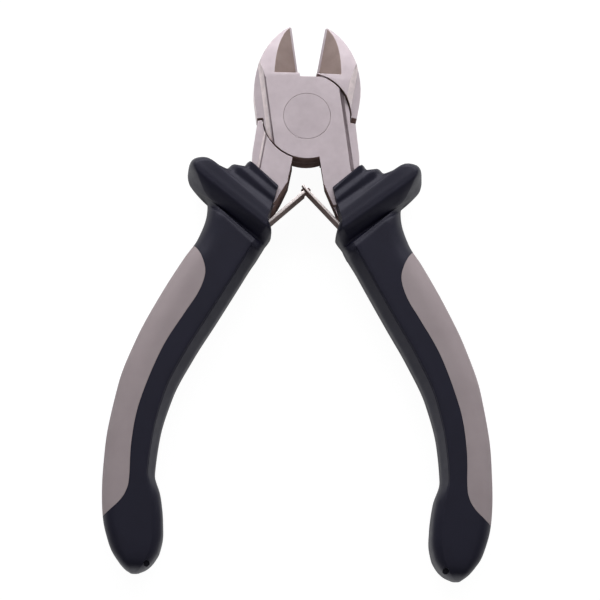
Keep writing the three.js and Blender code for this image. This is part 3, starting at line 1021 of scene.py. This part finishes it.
@dataclass
class LeafSpring:
    """A strip of spring steel that stands in a grip and crosses the other one.

    Attributes:
        side: the lever whose grip holds its foot.
        node: the solid that it stands for.
        flex_body: the body at its free end.
        slotted: True for a slot near the tip, False for a narrowed tongue.
        foot: where its rolled foot sits.
        crossing: where the leaves cross in the row frame.
        thickness, width, edge: section of the strip and the rounding of its edges.
        foot_radius: radius of the foot.
        tip: how far it reaches past the crossing.
        tongue: width of the tongue.
        slot_half: half of the slot's length.
        shoulder: how far before the crossing the tongue starts.
        fit: gap round the tongue and in the grip.
        bend_share: not used.
        sharp: degrees over which an edge is shaded sharp.
    """

    side: Side
    node: str
    flex_body: str
    slotted: bool
    foot: Point = (4.4, -24.95)
    crossing: Point = (0.45, -15.95)
    thickness: float = 0.55
    width: float = 4.8
    edge: float = 0.14
    foot_radius: float = 0.75
    tip: float = 1.4
    tongue: float = 1.8
    slot_half: float = 1.3
    shoulder: float = 0.8
    fit: float = 0.3
    bend_share: float = 0.55
    sharp: float = 35.0

    def reach(self) -> Vector:
        """Vector from the foot to the crossing, in the closed lever frame."""
        crossing = self.side.placement().inverted() @ (Vector((*self.crossing, JOINT_HALF)) * MM)
        return crossing.xy - Vector(self.foot)

    def strip(self) -> Object:
        """Sweep the strip along its length and cut its slot or the sides of its tongue.

        Returns:
            The strip along +X with its foot at the origin, in metres.
        """
        field = FieldTree(f"{self.node}_rule")
        sheet = field.sheet
        length = self.reach().length + self.tip
        end = field.size("Length", length * MM)
        thick = field.size("Thickness", self.thickness * MM)
        wide = field.size("Width", self.width * MM)
        edge = field.size("Edge rounding", self.edge * MM)
        eye = field.size("Foot radius", self.foot_radius * MM)
        path = sheet.add("GeometryNodeCurvePrimitiveLine", {"End": field.vector(x=end)})
        fine = sheet.add("GeometryNodeResampleCurve", {0: path.outputs[0], "Count": 48})
        outline = sheet.add("GeometryNodeCurvePrimitiveQuadrilateral", {"Width": thick, "Height": wide})
        inputs = {0: outline.outputs[0], "Radius": edge, "Count": 4}
        soft = sheet.add("GeometryNodeFilletCurve", inputs, mode="POLY")
        swept = sheet.add("GeometryNodeCurveToMesh", {
            "Curve": fine.outputs[0], "Profile Curve": soft.outputs[0], "Fill Caps": True,
        })
        foot = sheet.add("GeometryNodeMeshCylinder", {"Vertices": 32, "Radius": eye, "Depth": wide})
        body = field.joined(swept.outputs[0], foot.outputs["Mesh"])
        cutters = self.cutters(field)
        cut = sheet.add("GeometryNodeMeshBoolean", {0: body}, operation="DIFFERENCE", solver="EXACT")
        field.tree.links.new(cutters, cut.inputs["Mesh 2"])
        return field.mesh(self.leaf_name(), cut.outputs[0], SPRING_STEEL)

    def leaf_name(self) -> str:
        """Name of the finished piece."""
        return "slotted_leaf" if self.slotted else "tongue_leaf"

    def cutters(self, field: FieldTree) -> NodeSocket:
        """Boxes that leave the slot, or the tongue between them.

        Args:
            field: the tree that they are added to.

        Returns:
            The socket of the boxes.
        """
        reach = self.reach().length
        start = reach - self.slot_half - self.fit
        if self.slotted:
            count, spacing, high = 1, 0.0, self.tongue + 2 * self.fit
            length = 2 * (self.slot_half + self.fit)
        else:
            count, spacing, high = 2, self.tongue + self.width, self.width
            length = 2 * self.width
            start = reach - self.shoulder
        cut_long = field.size("Cut length", length * MM)
        cut_high = field.size("Cut height", high * MM)
        cut_start = field.size("Cut start", start * MM)
        cut_gap = field.size("Cut spacing", spacing * MM)
        cut_count = field.size("Cut count", count)
        box = field.sheet.add("GeometryNodeMeshCube", {
            "Size": field.vector(cut_long, 4 * self.thickness * MM, cut_high),
        })
        middle = field.sum(cut_start, field.sum(cut_long, 0.5, "MULTIPLY"))
        height = field.sum(field.sum(cut_count, 1, "SUBTRACT"), cut_gap, "MULTIPLY")
        start_place = field.vector(x=middle, z=field.sum(height, -0.5, "MULTIPLY"))
        row = field.sheet.add("GeometryNodeMeshLine", {
            "Count": cut_count, "Start Location": start_place, "Offset": field.vector(z=cut_gap),
        })
        boxes = field.sheet.add("GeometryNodeInstanceOnPoints", {
            0: row.outputs[0], "Instance": box.outputs["Mesh"],
        })
        return field.sheet.add("GeometryNodeRealizeInstances", {0: boxes.outputs[0]}).outputs[0]

    def build(self) -> Object:
        """Place the strip in its lever.

        Returns:
            The finished piece.
        """
        leaf = self.strip()
        reach = self.reach()
        turn = Matrix.Rotation(math.atan2(reach.y, reach.x), 4, "Z")
        stand = Matrix.Translation((*self.foot, 0)) @ turn @ Matrix.Scale(1 / MM, 4)
        place = self.side.placement()
        leaf.data.transform(place @ stand)
        tidy_mesh(leaf.data, MERGE_METRES)
        leaf.data.materials.append(SHEARED_AND_HIGHLIGHT_STEEL.material())
        # Rim faces turned up or down get the near-white edge finish, partly a painted highlight.
        rim, facing = (self.width / 2 - 2 * self.edge) * MM, 0.6
        for face in leaf.data.polygons:
            on_rim = abs(face.center.z - JOINT_HALF * MM) > rim
            face.material_index = int(on_rim and abs(face.normal.z) > facing)
        smooth(leaf.data, self.sharp)
        self.side.body
        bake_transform(leaf)
        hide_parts(self.node)
        log.info("%s bends between %s and %s", leaf.name, self.side.body, self.flex_body)
        return leaf


@dataclass(frozen=True)
class Station:
    """One cross-section of a grip.

    Attributes:
        outer, inner: its ends on the grip's two edges.
        half: half of its thickness.
        bevel: width of the flank along the inner edge.
        rounding: width of the rounding along the outer edge.
        groove: depth of the crease between panel and flank.
        hollow: 1 for a straight flank, more for one that stays low and rises late, less for a full one.
        wall: below 1 for a full rounding along the outer edge, towards 2 for a straight slope.
        fall: share of the height that the outer rounding takes up, with a steep wall below it.
    """

    outer: Point
    inner: Point
    half: float
    bevel: float
    rounding: float
    groove: float = 0.0
    hollow: float = 1.0
    wall: float = 0.85
    fall: float = 1.0

    def length(self) -> float:
        """Distance between its two ends."""
        return math.dist(self.outer, self.inner)

    def row(self) -> list[float]:
        """All its numbers in order."""
        plan = [*self.outer, *self.inner]
        return [*plan, self.half, self.bevel, self.rounding, self.groove, self.hollow, self.wall, self.fall]


@dataclass
class GripMould:
    """The mould of both grips: body, soft inlay and the room for tang and leaf spring.

    Attributes:
        neck: the outer end of the neck behind the guard.
        handle_length, handle_bow: how far the handle reaches below the neck and bows out from it.
        guard_reach: how far the guard stands out from the neck.
        collar_half, guard_half, panel_half, valley_half: half thickness of the grip's regions.
        rib_height: height of the collar's ribs.
        crease: depth of the crease between panel and flank.
        flank_foot: share of the height where the flank along the inner edge starts.
        lip: width of the lip between crease and panel.
        heel: rings that close the end, each with its share of the last section and its push outwards.
        inlay_depth, inlay_gap: thickness of the inlay and the gap round it.
        tang_half, tang_fit, tang_cover, tang_width, tang_step: sizes of the channel for the tang.
        gate_radius, gate_depth, gate_inset, gate_down, gate_sink: the small moulding holes and their place.
        spring_swing: degrees that a leaf turns when the handles close.
        mouth_span, mouth_swings: reach of a leaf's room in the grip, and the shares of its swing.
        tang_span, tang_swings: the same in the tang.
        spacing, most_steps: distance between two rows of the skin, and the most rows in one stretch.
        through: half height of a tool that cuts right through the grip.
        sharp: degrees over which an edge is shaded sharp.
    """

    neck: Point = (17.45, -25.4)
    handle_length: float = 78.1
    handle_bow: float = 12.0
    guard_reach: float = 5.85
    collar_half: float = 5.6
    rib_height: float = 0.6
    guard_half: float = 6.9
    panel_half: float = 5.6
    valley_half: float = 4.0
    crease: float = 0.22
    flank_foot: float = 0.4
    lip: float = 0.26
    heel: tuple[Point, ...] = ((0.8, 0.14), (0.5, 0.24))
    inlay_depth: float = 1.5
    inlay_gap: float = 0.03
    tang_half: float = 3.0
    tang_fit: float = 0.3
    tang_cover: float = 5.0
    tang_width: float = 4.8
    tang_step: float = -20.5
    gate_radius: float = 0.65
    gate_depth: float = 1.2
    gate_inset: float = 6.5
    gate_down: float = 0.976
    gate_sink: float = 1.2
    spring_swing: float = 15.5
    mouth_span: float = 8.0
    mouth_swings: tuple[float, ...] = (-1, -0.5, 0, 0.25)
    tang_span: float = 5.0
    tang_swings: tuple[float, ...] = (0,)
    spacing: float = 0.3
    most_steps: int = 10
    through: float = 12.0
    sharp: float = 40.0

    def guard(self, share: float, y: float) -> Point:
        """A place on the guard's outer edge, as a share of its reach from the neck."""
        return self.neck[0] + share * self.guard_reach, y

    def collar_stations(self) -> list[Station]:
        """Lay out the ribbed collar, the guard and the neck behind it.

        Returns:
            Their sections in order.
        """
        collar, rib, wing, valley = self.collar_half, self.rib_height, self.guard_half, self.valley_half
        fall = wing - valley
        return [
            Station((9.6, -12.7), (3, -16.9), collar - 0.1, 0.4, 0.6),
            Station((10.7, -12.2), (3.1, -17.6), collar + rib * 0.55, 0.4, 1.2),
            Station((11.7, -13.3), (3.15, -18.1), collar + rib * 0.2, 0.4, 2),
            Station((14, -13.3), (3.3, -19.9), collar + rib, 0.4, 2.6),
            Station((15.4, -14.5), (3.45, -20.7), collar + rib * 0.5, 0.4, 3),
            Station(self.guard(0.16, -13.8), (3.6, -21.8), collar + rib * 1.1, 0.4, 3.5),
            Station(self.guard(0.5, -12.95), (3.7, -22.9), wing - 0.25, 0.4, 3),
            Station(self.guard(0.9, -13.8), (3.8, -24.3), wing - 0.1, 0.5, 2.4, 0, 1.2, 0.9),
            Station(self.guard(0.98, -14.8), (3.2, -25.6), wing, 1, 2, 0, 0.5, 0.9),
            Station(self.guard(1, -15.7), (2.9, -26.8), wing, 1.4, 2.4, 0, 0.3, 1),
            Station(self.guard(0.99, -16.8), (3.05, -27.4), wing - fall * 0.16, 1.6, 3.2, 0, 0.3, 1.4),
            Station(self.guard(0.87, -18.8), (3.3, -28.2), wing - fall * 0.54, 1.8, 4, 0, 0.3, 1.7),
            Station(self.guard(0.62, -20.2), (3.6, -28.9), wing - fall * 0.8, 2, 4, 0, 0.3, 1.4),
            Station(self.guard(0.2, -21.4), (3.95, -29.8), valley, 2.2, 4.2, 0, 0.3),
            Station(self.guard(0.11, -21.9), (4.2, -30.4), self.panel_half - 0.5, 2.2, 5.4, 0, 0.3, 1.2),
            Station(self.guard(0.095, -22.1), (4.3, -30.6), self.panel_half - 0.43, 2.2, 5.4, 0, 0.3, 1.2),
            Station(self.guard(0.05, -22.85), (4.6, -31.4), self.panel_half - 0.05, 2.2, 5.2, 0, 0.3, 1.1),
            Station(self.guard(0.035, -23.2), (4.75, -31.8), self.panel_half, 2.2, 5, self.crease, 0.4, 1),
        ]

    def handle(
        self, down: float, out: float, width: float, lean: float, half: float, bevel: float,
        rounding: float, groove: float, hollow: float = 1.0, fall: float = 1.0,
    ) -> Station:
        """A handle section.

        Args:
            down, out: its outer end as shares of the handle's length and bow.
            width: how far its inner end is from the outer one across.
            lean: how much lower the inner end is.
            half, bevel, rounding, groove, hollow, fall: as in Station.

        Returns:
            The section.
        """
        x = self.neck[0] + out * self.handle_bow
        y = self.neck[1] - down * self.handle_length
        ends = (x, y), (x - width, y - lean)
        return Station(*ends, half, bevel, rounding, groove, hollow, fall=fall)

    def handle_stations(self) -> list[Station]:
        """Lay out the panelled handle and the bulb at its end.

        Returns:
            Their sections in order.
        """
        panel, crease = self.panel_half, self.crease
        return [
            self.handle(0, 0, 12.45, 7.1, panel, 2.2, 4.6, crease, 0.7),
            self.handle(0.064, 0.071, 12.3, 4.4, panel, 2, 5, crease),
            self.handle(0.128, 0.254, 12.7, 4.1, panel, 2, 5, crease),
            self.handle(0.243, 0.546, 13, 3.4, panel, 2, 5, crease),
            self.handle(0.374, 0.813, 12.8, 1.8, panel, 2, 5, crease),
            self.handle(0.506, 0.971, 11.9, 0.7, panel, 1.8, 5, crease),
            self.handle(0.63, 1, 11.25, -0.2, panel, 1.5, 5, crease),
            self.handle(0.739, 0.946, 11, -0.9, panel, 1.5, 4.5, crease),
            self.handle(0.816, 0.863, 12.2, -2.1, panel, 2, 3.6, 0, 0.35, 0.7),
            self.handle(0.883, 0.75, 12.4, -1.9, panel, 2.2, 3.2, 0, 0.25, 0.55),
            self.handle(0.93, 0.613, 11.35, -1.8, panel, 2.2, 3.1, 0, 0.25, 0.5),
            self.handle(0.958, 0.505, 9.9, -1.6, panel - 0.05, 2.1, 2.9, 0, 0.25, 0.5),
            self.handle(0.976, 0.395, 8, -1.25, panel - 0.2, 1.9, 2.5, 0, 0.25, 0.5),
            self.handle(0.99, 0.295, 6, -0.95, panel - 0.6, 1.5, 1.9, 0, 0.25, 0.5),
            self.handle(0.999, 0.21, 4, -0.6, panel - 1.5, 1, 1.2, 0, 0.3, 0.55),
            self.handle(1.004, 0.14, 2.2, -0.3, panel - 2.9, 0.5, 0.6, 0, 0.4, 0.7),
        ]

    def profile(
        self, length: float, half: float, bevel: float, rounding: float, groove: float,
        hollow: float, wall: float, fall: float, inset: float,
    ) -> list[Point]:
        """Upper half of a section, from the inner edge outwards.

        Args:
            length: distance between its two edges.
            half, bevel, rounding, groove, hollow, wall, fall: as in Station.
            inset: how far the skin is moved inwards.

        Returns:
            Distances from the inner edge and heights.
        """
        near, far, high = inset, length - inset, half - inset
        top = near + bevel
        panel = top + self.lip
        span = far - rounding - top - self.lip
        drop = 0.75 * groove

        def flank(share: float) -> Point:
            """A place on the flank along the inner edge."""
            rise = self.flank_foot + (1 - self.flank_foot) * share**hollow
            return near + bevel * share, high * rise

        def outer(turn: float) -> Point:
            """A place on the rounding along the outer edge."""
            level = 1 - fall + fall * max(0.0, math.cos(turn)) ** wall
            return far - rounding + rounding * math.sin(turn) ** wall, high * level

        foot, level = flank(0.95)
        return [
            *[(near, high * share) for share in (0, 0.2, 0.34)],
            *[flank(share) for share in (0.07, 0.2, 0.35, 0.5, 0.65, 0.78, 0.88)],
            (foot, level - groove),
            (top + 0.02, high - drop), (top + 0.1, high - 0.3 * drop), (panel, high),
            *[(panel + span * share, high) for share in (0.15, 0.35, 0.6, 0.85)],
            *[outer(math.radians(90 * k / 14)) for k in range(15)],
            (far, 0),
        ]

    def skin(self, name: str, inset: float) -> Object:
        """Stretch a closed skin over all sections that are large enough for it.

        Args:
            name: the object's name.
            inset: how far it lies inside the grip's surface.

        Returns:
            The closed skin.
        """
        stations = [
            station for station in (*self.collar_stations(), *self.handle_stations())
            if station.length() > 3 * inset and station.half > 2 * inset
        ]
        rows = np.array([station.row() for station in stations])
        rings = []
        for ox, oy, ix, iy, *section in steady_rows(rows, self.spacing, self.most_steps):
            inner = Vector((ix, iy))
            along = Vector((ox, oy)) - inner
            upper = self.profile(along.length, *section, inset)
            along.normalize()
            ring = [*upper, *[(d, -z) for d, z in reversed(upper[1:-1])]]
            rings.append([(*(inner + along * d), z) for d, z in ring])
        last = np.array(rings[-1])
        heel = last.mean(axis=0)
        away = heel - np.array(rings[-2]).mean(axis=0)
        away /= np.linalg.norm(away)
        for share, push in self.heel:
            rings.append([tuple(p) for p in heel + (last - heel) * share + away * push])
        return lofted(name, rings)

    def within_edge(self, down: float, inset: float) -> Point:
        """A place inside the handle's outer edge.

        Args:
            down: share of the handle's length.
            inset: distance from the outer edge, across.

        Returns:
            The place in plan.
        """
        outer = np.array([station.outer for station in self.handle_stations()])
        y = self.neck[1] - down * self.handle_length
        x = np.interp(-y, -outer[:, 1], outer[:, 0])
        return float(x) - inset, y

    def inlay_outline(self) -> list[Point]:
        """Draw the soft inlay in plan.

        Returns:
            Its edge on the panel, closed well outside the grip.
        """
        margin = 5
        shares = [
            (0.077, -1.6), (0.104, 1.8), (0.131, 4.3), (0.163, 6.3), (0.2, 7.3), (0.24, 7.65), (0.29, 7.2),
            (0.4, 6.3), (0.55, 5.6), (0.66, 5.55), (0.755, 5.85), (0.79, 5.4), (0.822, 4.05), (0.857, 1.3),
            (0.9, -2.6),
        ]
        edge = catmull_rom(np.array([self.within_edge(*share) for share in shares]), 8)
        beyond = self.neck[0] + 2 * self.handle_bow
        outline = [(beyond, edge[0][1] + margin), *[tuple(p) for p in edge], (beyond, edge[-1][1] - margin)]
        return [(float(x), float(y)) for x, y in outline]

    def tang_outline(self) -> list[Point]:
        """Draw the tang inside the grip in plan.

        Returns:
            Its corners, anticlockwise.
        """
        core = self.handle_stations()[:8]

        def under(station: Station, depth: float) -> Point:
            """A place on a section.

            Args:
                station: the section.
                depth: how far in from its outer end.

            Returns:
                The place in plan.
            """
            outer = Vector(station.outer)
            across = (Vector(station.inner) - outer).normalized()
            return tuple(outer + across * depth)

        outside = [(10.2, -10), (9.7, -14), (10.1, -18), (11.4, -23)]
        inside = [(4.2, -24.6), (3.3, -21.6), (2.4, -18.6), (1.5, -15.2), (1.4, -10)]
        down = [under(station, self.tang_cover) for station in core]
        up = [under(station, self.tang_cover + self.tang_width) for station in reversed(core)]
        return [*outside, *down, *up, *inside][::-1]

    def tang_rooms(self) -> list[Object]:
        """Make the channel for the tang.

        Returns:
            Its low part in the handle, and its full height at the collar.
        """
        plan = grown(self.tang_outline(), self.tang_fit)
        low = prism("tang_channel", plan, -self.tang_half - self.tang_fit, self.tang_half + self.tang_fit)
        high = prism("tang_mouth", plan, -JOINT_HALF - self.tang_fit, JOINT_HALF + self.tang_fit)
        step = self.tang_step - self.tang_fit
        wide, tall = 40, 20
        corners = [(-wide, step), (wide, step), (wide, 0), (-wide, 0)]
        window = prism("window", corners, -tall, tall)
        return [low, combine(high, window, Cut.KEEP_COMMON)]

    def spring_room(self, leaf: LeafSpring, span: float, swings: tuple[float, ...]) -> Object:
        """The room where a leaf's foot sits and the leaf swings.

        Args:
            leaf: the leaf spring.
            span: how far from the foot it reaches.
            swings: the leaf's turns that it has room for, as shares of the swing.

        Returns:
            The shape to take away.
        """
        facets = 28
        half_width = leaf.width / 2 + leaf.fit
        half_thick = leaf.thickness / 2 + leaf.fit
        radius = leaf.foot_radius + leaf.fit
        room = round_bar("leaf_room", leaf.foot, radius, -half_width, half_width, facets)
        reach = leaf.reach()
        rest = math.atan2(reach.y, reach.x)
        for share in swings:
            turn = Matrix.Rotation(rest + math.radians(share * self.spring_swing), 2)
            strip = [(0, -half_thick), (span, -half_thick), (span, half_thick), (0, half_thick)]
            plan = [tuple(Vector(leaf.foot) + turn @ Vector(p)) for p in strip]
            combine(room, prism("leaf_swing", plan, -half_width, half_width), Cut.JOIN)
        return room

    def gate_holes(self) -> list[Object]:
        """Make the small moulding holes near the end.

        Returns:
            The two round bars to take away, one for each face.
        """
        proud, facets = 3, 24
        place = self.within_edge(self.gate_down, self.gate_inset)
        level = self.panel_half - self.gate_sink
        low, high = level - self.gate_depth, level + proud
        upper = round_bar("gate_front", place, self.gate_radius, low, high, facets)
        lower = round_bar("gate_back", place, self.gate_radius, -high, -low, facets)
        return [upper, lower]

    def body(self, leaf: LeafSpring) -> Mesh:
        """Mould the hard body.

        Args:
            leaf: the leaf spring that it holds.

        Returns:
            Its mesh in the closed lever frame, in millimetres.
        """
        shell = self.skin("grip_shell", 0)
        plan = grown(self.inlay_outline(), self.inlay_gap)
        pocket = prism("pocket", plan, -self.through, self.through)
        core = self.skin("pocket_core", self.inlay_depth + self.inlay_gap)
        combine(shell, combine(pocket, core, Cut.TAKE_AWAY), Cut.TAKE_AWAY)
        room, *others = self.tang_rooms()
        for other in [*others, self.spring_room(leaf, self.mouth_span, self.mouth_swings)]:
            combine(room, other, Cut.JOIN)
        for tool in [room, *self.gate_holes()]:
            combine(shell, tool, Cut.TAKE_AWAY)
        return self.lifted(shell, MOULDED_PLASTIC)

    def inlay(self) -> Mesh:
        """Mould the soft inlay.

        Returns:
            Its mesh in the closed lever frame, in millimetres.
        """
        strip = self.skin("inlay_shell", 0)
        plan = prism("inlay_plan", self.inlay_outline(), -self.through, self.through)
        combine(strip, plan, Cut.KEEP_COMMON)
        combine(strip, self.skin("inlay_core", self.inlay_depth), Cut.TAKE_AWAY)
        return self.lifted(strip, SOFT_RUBBER)

    @staticmethod
    def lifted(thing: Object, finish: Finish) -> Mesh:
        """Take the mesh off a helper object and give it its finish.

        Args:
            thing: the helper, which is removed.
            finish: the surface.

        Returns:
            The mesh.
        """
        mesh = thing.data
        tidy_mesh(mesh, MERGE)
        mesh.materials.clear()
        mesh.materials.append(finish.material())
        bpy.data.objects.remove(thing)
        return mesh


@dataclass
class Grips:
    """Both handles: each a hard body with a soft inlay."""

    mould: GripMould

    def build(self, leaf: LeafSpring) -> list[Object]:
        """Mould one body and one inlay, and set both on each lever.

        Args:
            leaf: the leaf spring that gives the room for its foot.

        Returns:
            The four finished pieces.
        """
        shapes = {
            "grip": (self.mould.body(leaf), "grip_body"),
            "grip_inlay": (self.mould.inlay(), "grip_inlay"),
        }
        pieces = []
        for side in Side:
            for kind, (master, slot) in shapes.items():
                mesh = master.copy()
                mesh.transform(side.placement())
                smooth(mesh, self.mould.sharp)
                piece = new_object(f"{kind}_moulding_{side.value}", mesh)
                finish_piece(piece, f"{kind}_{side.value}", side.body)
                pieces.append(piece)
        for master, _ in shapes.values():
            bpy.data.meshes.remove(master)
        return pieces


@dataclass(frozen=True)
class Softbox:
    """A soft lamp: where it hangs, its size and its power."""

    name: str
    place: tuple[float, float, float]
    size: tuple[float, float]
    watts: float


@dataclass
class Studio:
    """Camera, floor, soft lamps and surroundings.

    Attributes:
        azimuth, elevation, roll: the camera's direction in degrees.
        distance: from the camera to its target, in millimetres.
        target: the point at the picture's centre, in millimetres.
        lens, sensor: focal length and width of the sensor.
        floor_level: height of the floor, in metres.
        floor_reach: half of the floor's width, in metres.
        contact_reach: how near the floor a piece darkens the floor's glow where gloss mirrors it, a painted
            contact shadow, in millimetres.
        contact_full: the share of open sky at which that painted shadow is full.
        floor_glow: the floor's own brightness, deep in the painted contact shadow and clear of it.
        floor_tones: greys of the floor, as it lights the tool and as it is seen.
        room_glow: brightness of the surroundings.
    """

    floor_level: float
    azimuth: float = -9.562
    elevation: float = 78.875
    roll: float = 1.356
    distance: float = 500.0
    target: tuple[float, float, float] = (-0.436, -39.979, 4.49)
    lens: float = 138.69
    sensor: float = 36.0
    floor_reach: float = 3.0
    contact_reach: float = 14.0
    contact_full: float = 0.35
    floor_glow: Point = (0.1, 0.95)
    floor_tones: Point = (0.8, 0.14)
    room_glow: float = 0.2
    lamps: tuple[Softbox, ...] = (
        Softbox("back_softbox", (0.0, 300.0, 205.0), (680.0, 320.0), 2.1),
        Softbox("top_softbox", (0.0, -40.0, 900.0), (900.0, 900.0), 0.62),
        Softbox("left_softbox", (-480.0, -30.0, 130.0), (900.0, 220.0), 0.25),
        Softbox("right_softbox", (480.0, -30.0, 130.0), (900.0, 220.0), 0.27),
    )

    def back(self) -> Vector:
        """Direction from the target to the camera."""
        a, e = math.radians(self.azimuth), math.radians(self.elevation)
        return Vector((math.sin(a) * math.cos(e), -math.cos(a) * math.cos(e), math.sin(e)))

    def camera(self) -> Object:
        """Set up the camera at the viewing angle.

        Returns:
            The camera.
        """
        data = bpy.data.cameras.new("viewpoint")
        data.lens = self.lens
        data.sensor_width = self.sensor
        camera = bpy.data.objects.new("viewpoint", data)
        back = self.back()
        level = (Vector((0, 1, 0)) - back * back.y).normalized()
        side = level.cross(back)
        turn = math.radians(self.roll)
        up = level * math.cos(turn) - side * math.sin(turn)
        right = side * math.cos(turn) + level * math.sin(turn)
        place = (Vector(self.target) + back * self.distance) * MM
        facing = Matrix((right, up, back)).transposed().to_4x4()
        camera.matrix_world = Matrix.Translation(place) @ facing
        bpy.context.scene.collection.objects.link(camera)
        bpy.context.scene.camera = camera
        return camera

    def light(self) -> None:
        """Hang the soft lamps, each aimed at the target."""
        for box in self.lamps:
            data = bpy.data.lights.new(box.name, "AREA")
            data.shape = "RECTANGLE"
            data.size, data.size_y = (side * MM for side in box.size)
            data.energy = box.watts
            lamp = bpy.data.objects.new(box.name, data)
            place = Vector(box.place) * MM
            aim = Vector(self.target) * MM - place
            turn = aim.to_track_quat("-Z", "Y").to_matrix().to_4x4()
            lamp.matrix_world = Matrix.Translation(place) @ turn
            bpy.context.scene.collection.objects.link(lamp)

    @staticmethod
    def seen_directly(sheet: NodeSheet) -> NodeSocket:
        """Tell what is seen from what only lights.

        Args:
            sheet: the material's nodes.

        Returns:
            A socket that is 1 for what the camera, gloss and clear surfaces see.
        """
        rays = sheet.add("ShaderNodeLightPath")
        names = ("Is Camera Ray", "Is Glossy Ray", "Is Transmission Ray")
        total = rays.outputs[names[0]]
        for name in names[1:]:
            inputs = {0: total, 1: rays.outputs[name]}
            total = sheet.add("ShaderNodeMath", inputs, operation="MAXIMUM").outputs[0]
        return total

    def floor(self) -> Object:
        """Lay the pale floor that keeps a soft shadow, and a deeper painted one in its glow where gloss
        mirrors it.

        Returns:
            The floor.
        """
        reach = self.floor_reach
        corners = [(-reach, -reach), (reach, -reach), (reach, reach), (-reach, reach)]
        mesh = bpy.data.meshes.new("floor")
        mesh.from_pydata([(x, y, self.floor_level) for x, y in corners], [], [(0, 1, 2, 3)])
        material = bpy.data.materials.new("floor_paper")
        material.use_nodes = True
        sheet = NodeSheet(material.node_tree)
        plain, shaded = (
            sheet.add("ShaderNodeBsdfDiffuse", {"Color": (tone, tone, tone, 1)}) for tone in self.floor_tones
        )
        # Painted shadow: ambient occlusion near the tool darkens the floor's glow, for reflections only.
        near = sheet.add("ShaderNodeAmbientOcclusion", {"Distance": self.contact_reach * MM}, samples=8)
        deep, clear = self.floor_glow
        contact = sheet.add("ShaderNodeMapRange", {
            "Value": near.outputs["AO"], "From Min": self.contact_full, "To Min": deep, "To Max": clear,
        }).outputs[0]
        rays = sheet.add("ShaderNodeLightPath")
        strength = sheet.add("ShaderNodeMix", {0: rays.outputs["Is Camera Ray"], 2: contact, 3: clear})
        glow = sheet.add("ShaderNodeEmission", {"Color": (1, 1, 1, 1), "Strength": strength.outputs[0]})
        paper = sheet.add("ShaderNodeAddShader", {0: shaded.outputs[0], 1: glow.outputs[0]})
        inputs = {0: self.seen_directly(sheet), 1: plain.outputs[0], 2: paper.outputs[0]}
        mix = sheet.add("ShaderNodeMixShader", inputs)
        sheet.add("ShaderNodeOutputMaterial", {"Surface": mix.outputs[0]})
        mesh.materials.append(material)
        floor = new_object("floor", mesh)
        floor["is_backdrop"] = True
        return floor

    def surroundings(self) -> None:
        """Give the world a plain grey glow."""
        world = bpy.data.worlds.new("studio")
        world.use_nodes = True
        sheet = NodeSheet(world.node_tree)
        room = sheet.add("ShaderNodeBackground", {"Color": (1, 1, 1, 1), "Strength": self.room_glow})
        sheet.add("ShaderNodeOutputWorld", {"Surface": room.outputs[0]})
        bpy.context.scene.world = world
        bpy.context.scene.view_settings.view_transform = "Standard"

    def build(self) -> None:
        """Set up everything that isn't part of the tool."""
        self.camera()
        self.light()
        self.floor()
        self.surroundings()


def main() -> None:
    """Load the frame and build the tool's pieces and the studio in order."""
    logging.basicConfig(level=logging.INFO, format="%(message)s")
    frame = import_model()
    solid_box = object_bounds()
    Studio(floor_level=solid_box[0].z).build()
    solids = frame["nodes"]
    mould = GripMould()
    slotted = LeafSpring(Side.FRONT, "spring_leaf_slotted", "slotted_spring", slotted=True)
    tongue = LeafSpring(
        Side.REAR, "spring_leaf_tongue", "tongue_spring", slotted=False,
        tip=0.85, width=5.8, thickness=0.65,
    )
    front = JawLever(Side.FRONT, "jaw_lever_front", recess_up=1.0, flank_lean=-0.7, lean_top=-9.62)
    front.build(solids, mould.spring_room(slotted, mould.tang_span, mould.tang_swings))
    rear = JawLever(Side.REAR, "jaw_lever_rear", recess_up=-1.0, flank_lean=0.28, lean_top=-10.3)
    rear.build(solids, mould.spring_room(tongue, mould.tang_span, mould.tang_swings))
    PivotRivet().build()
    slotted.build()
    tongue.build()
    Grips(mould).build(tongue)


if __name__ == "__main__":
    main()
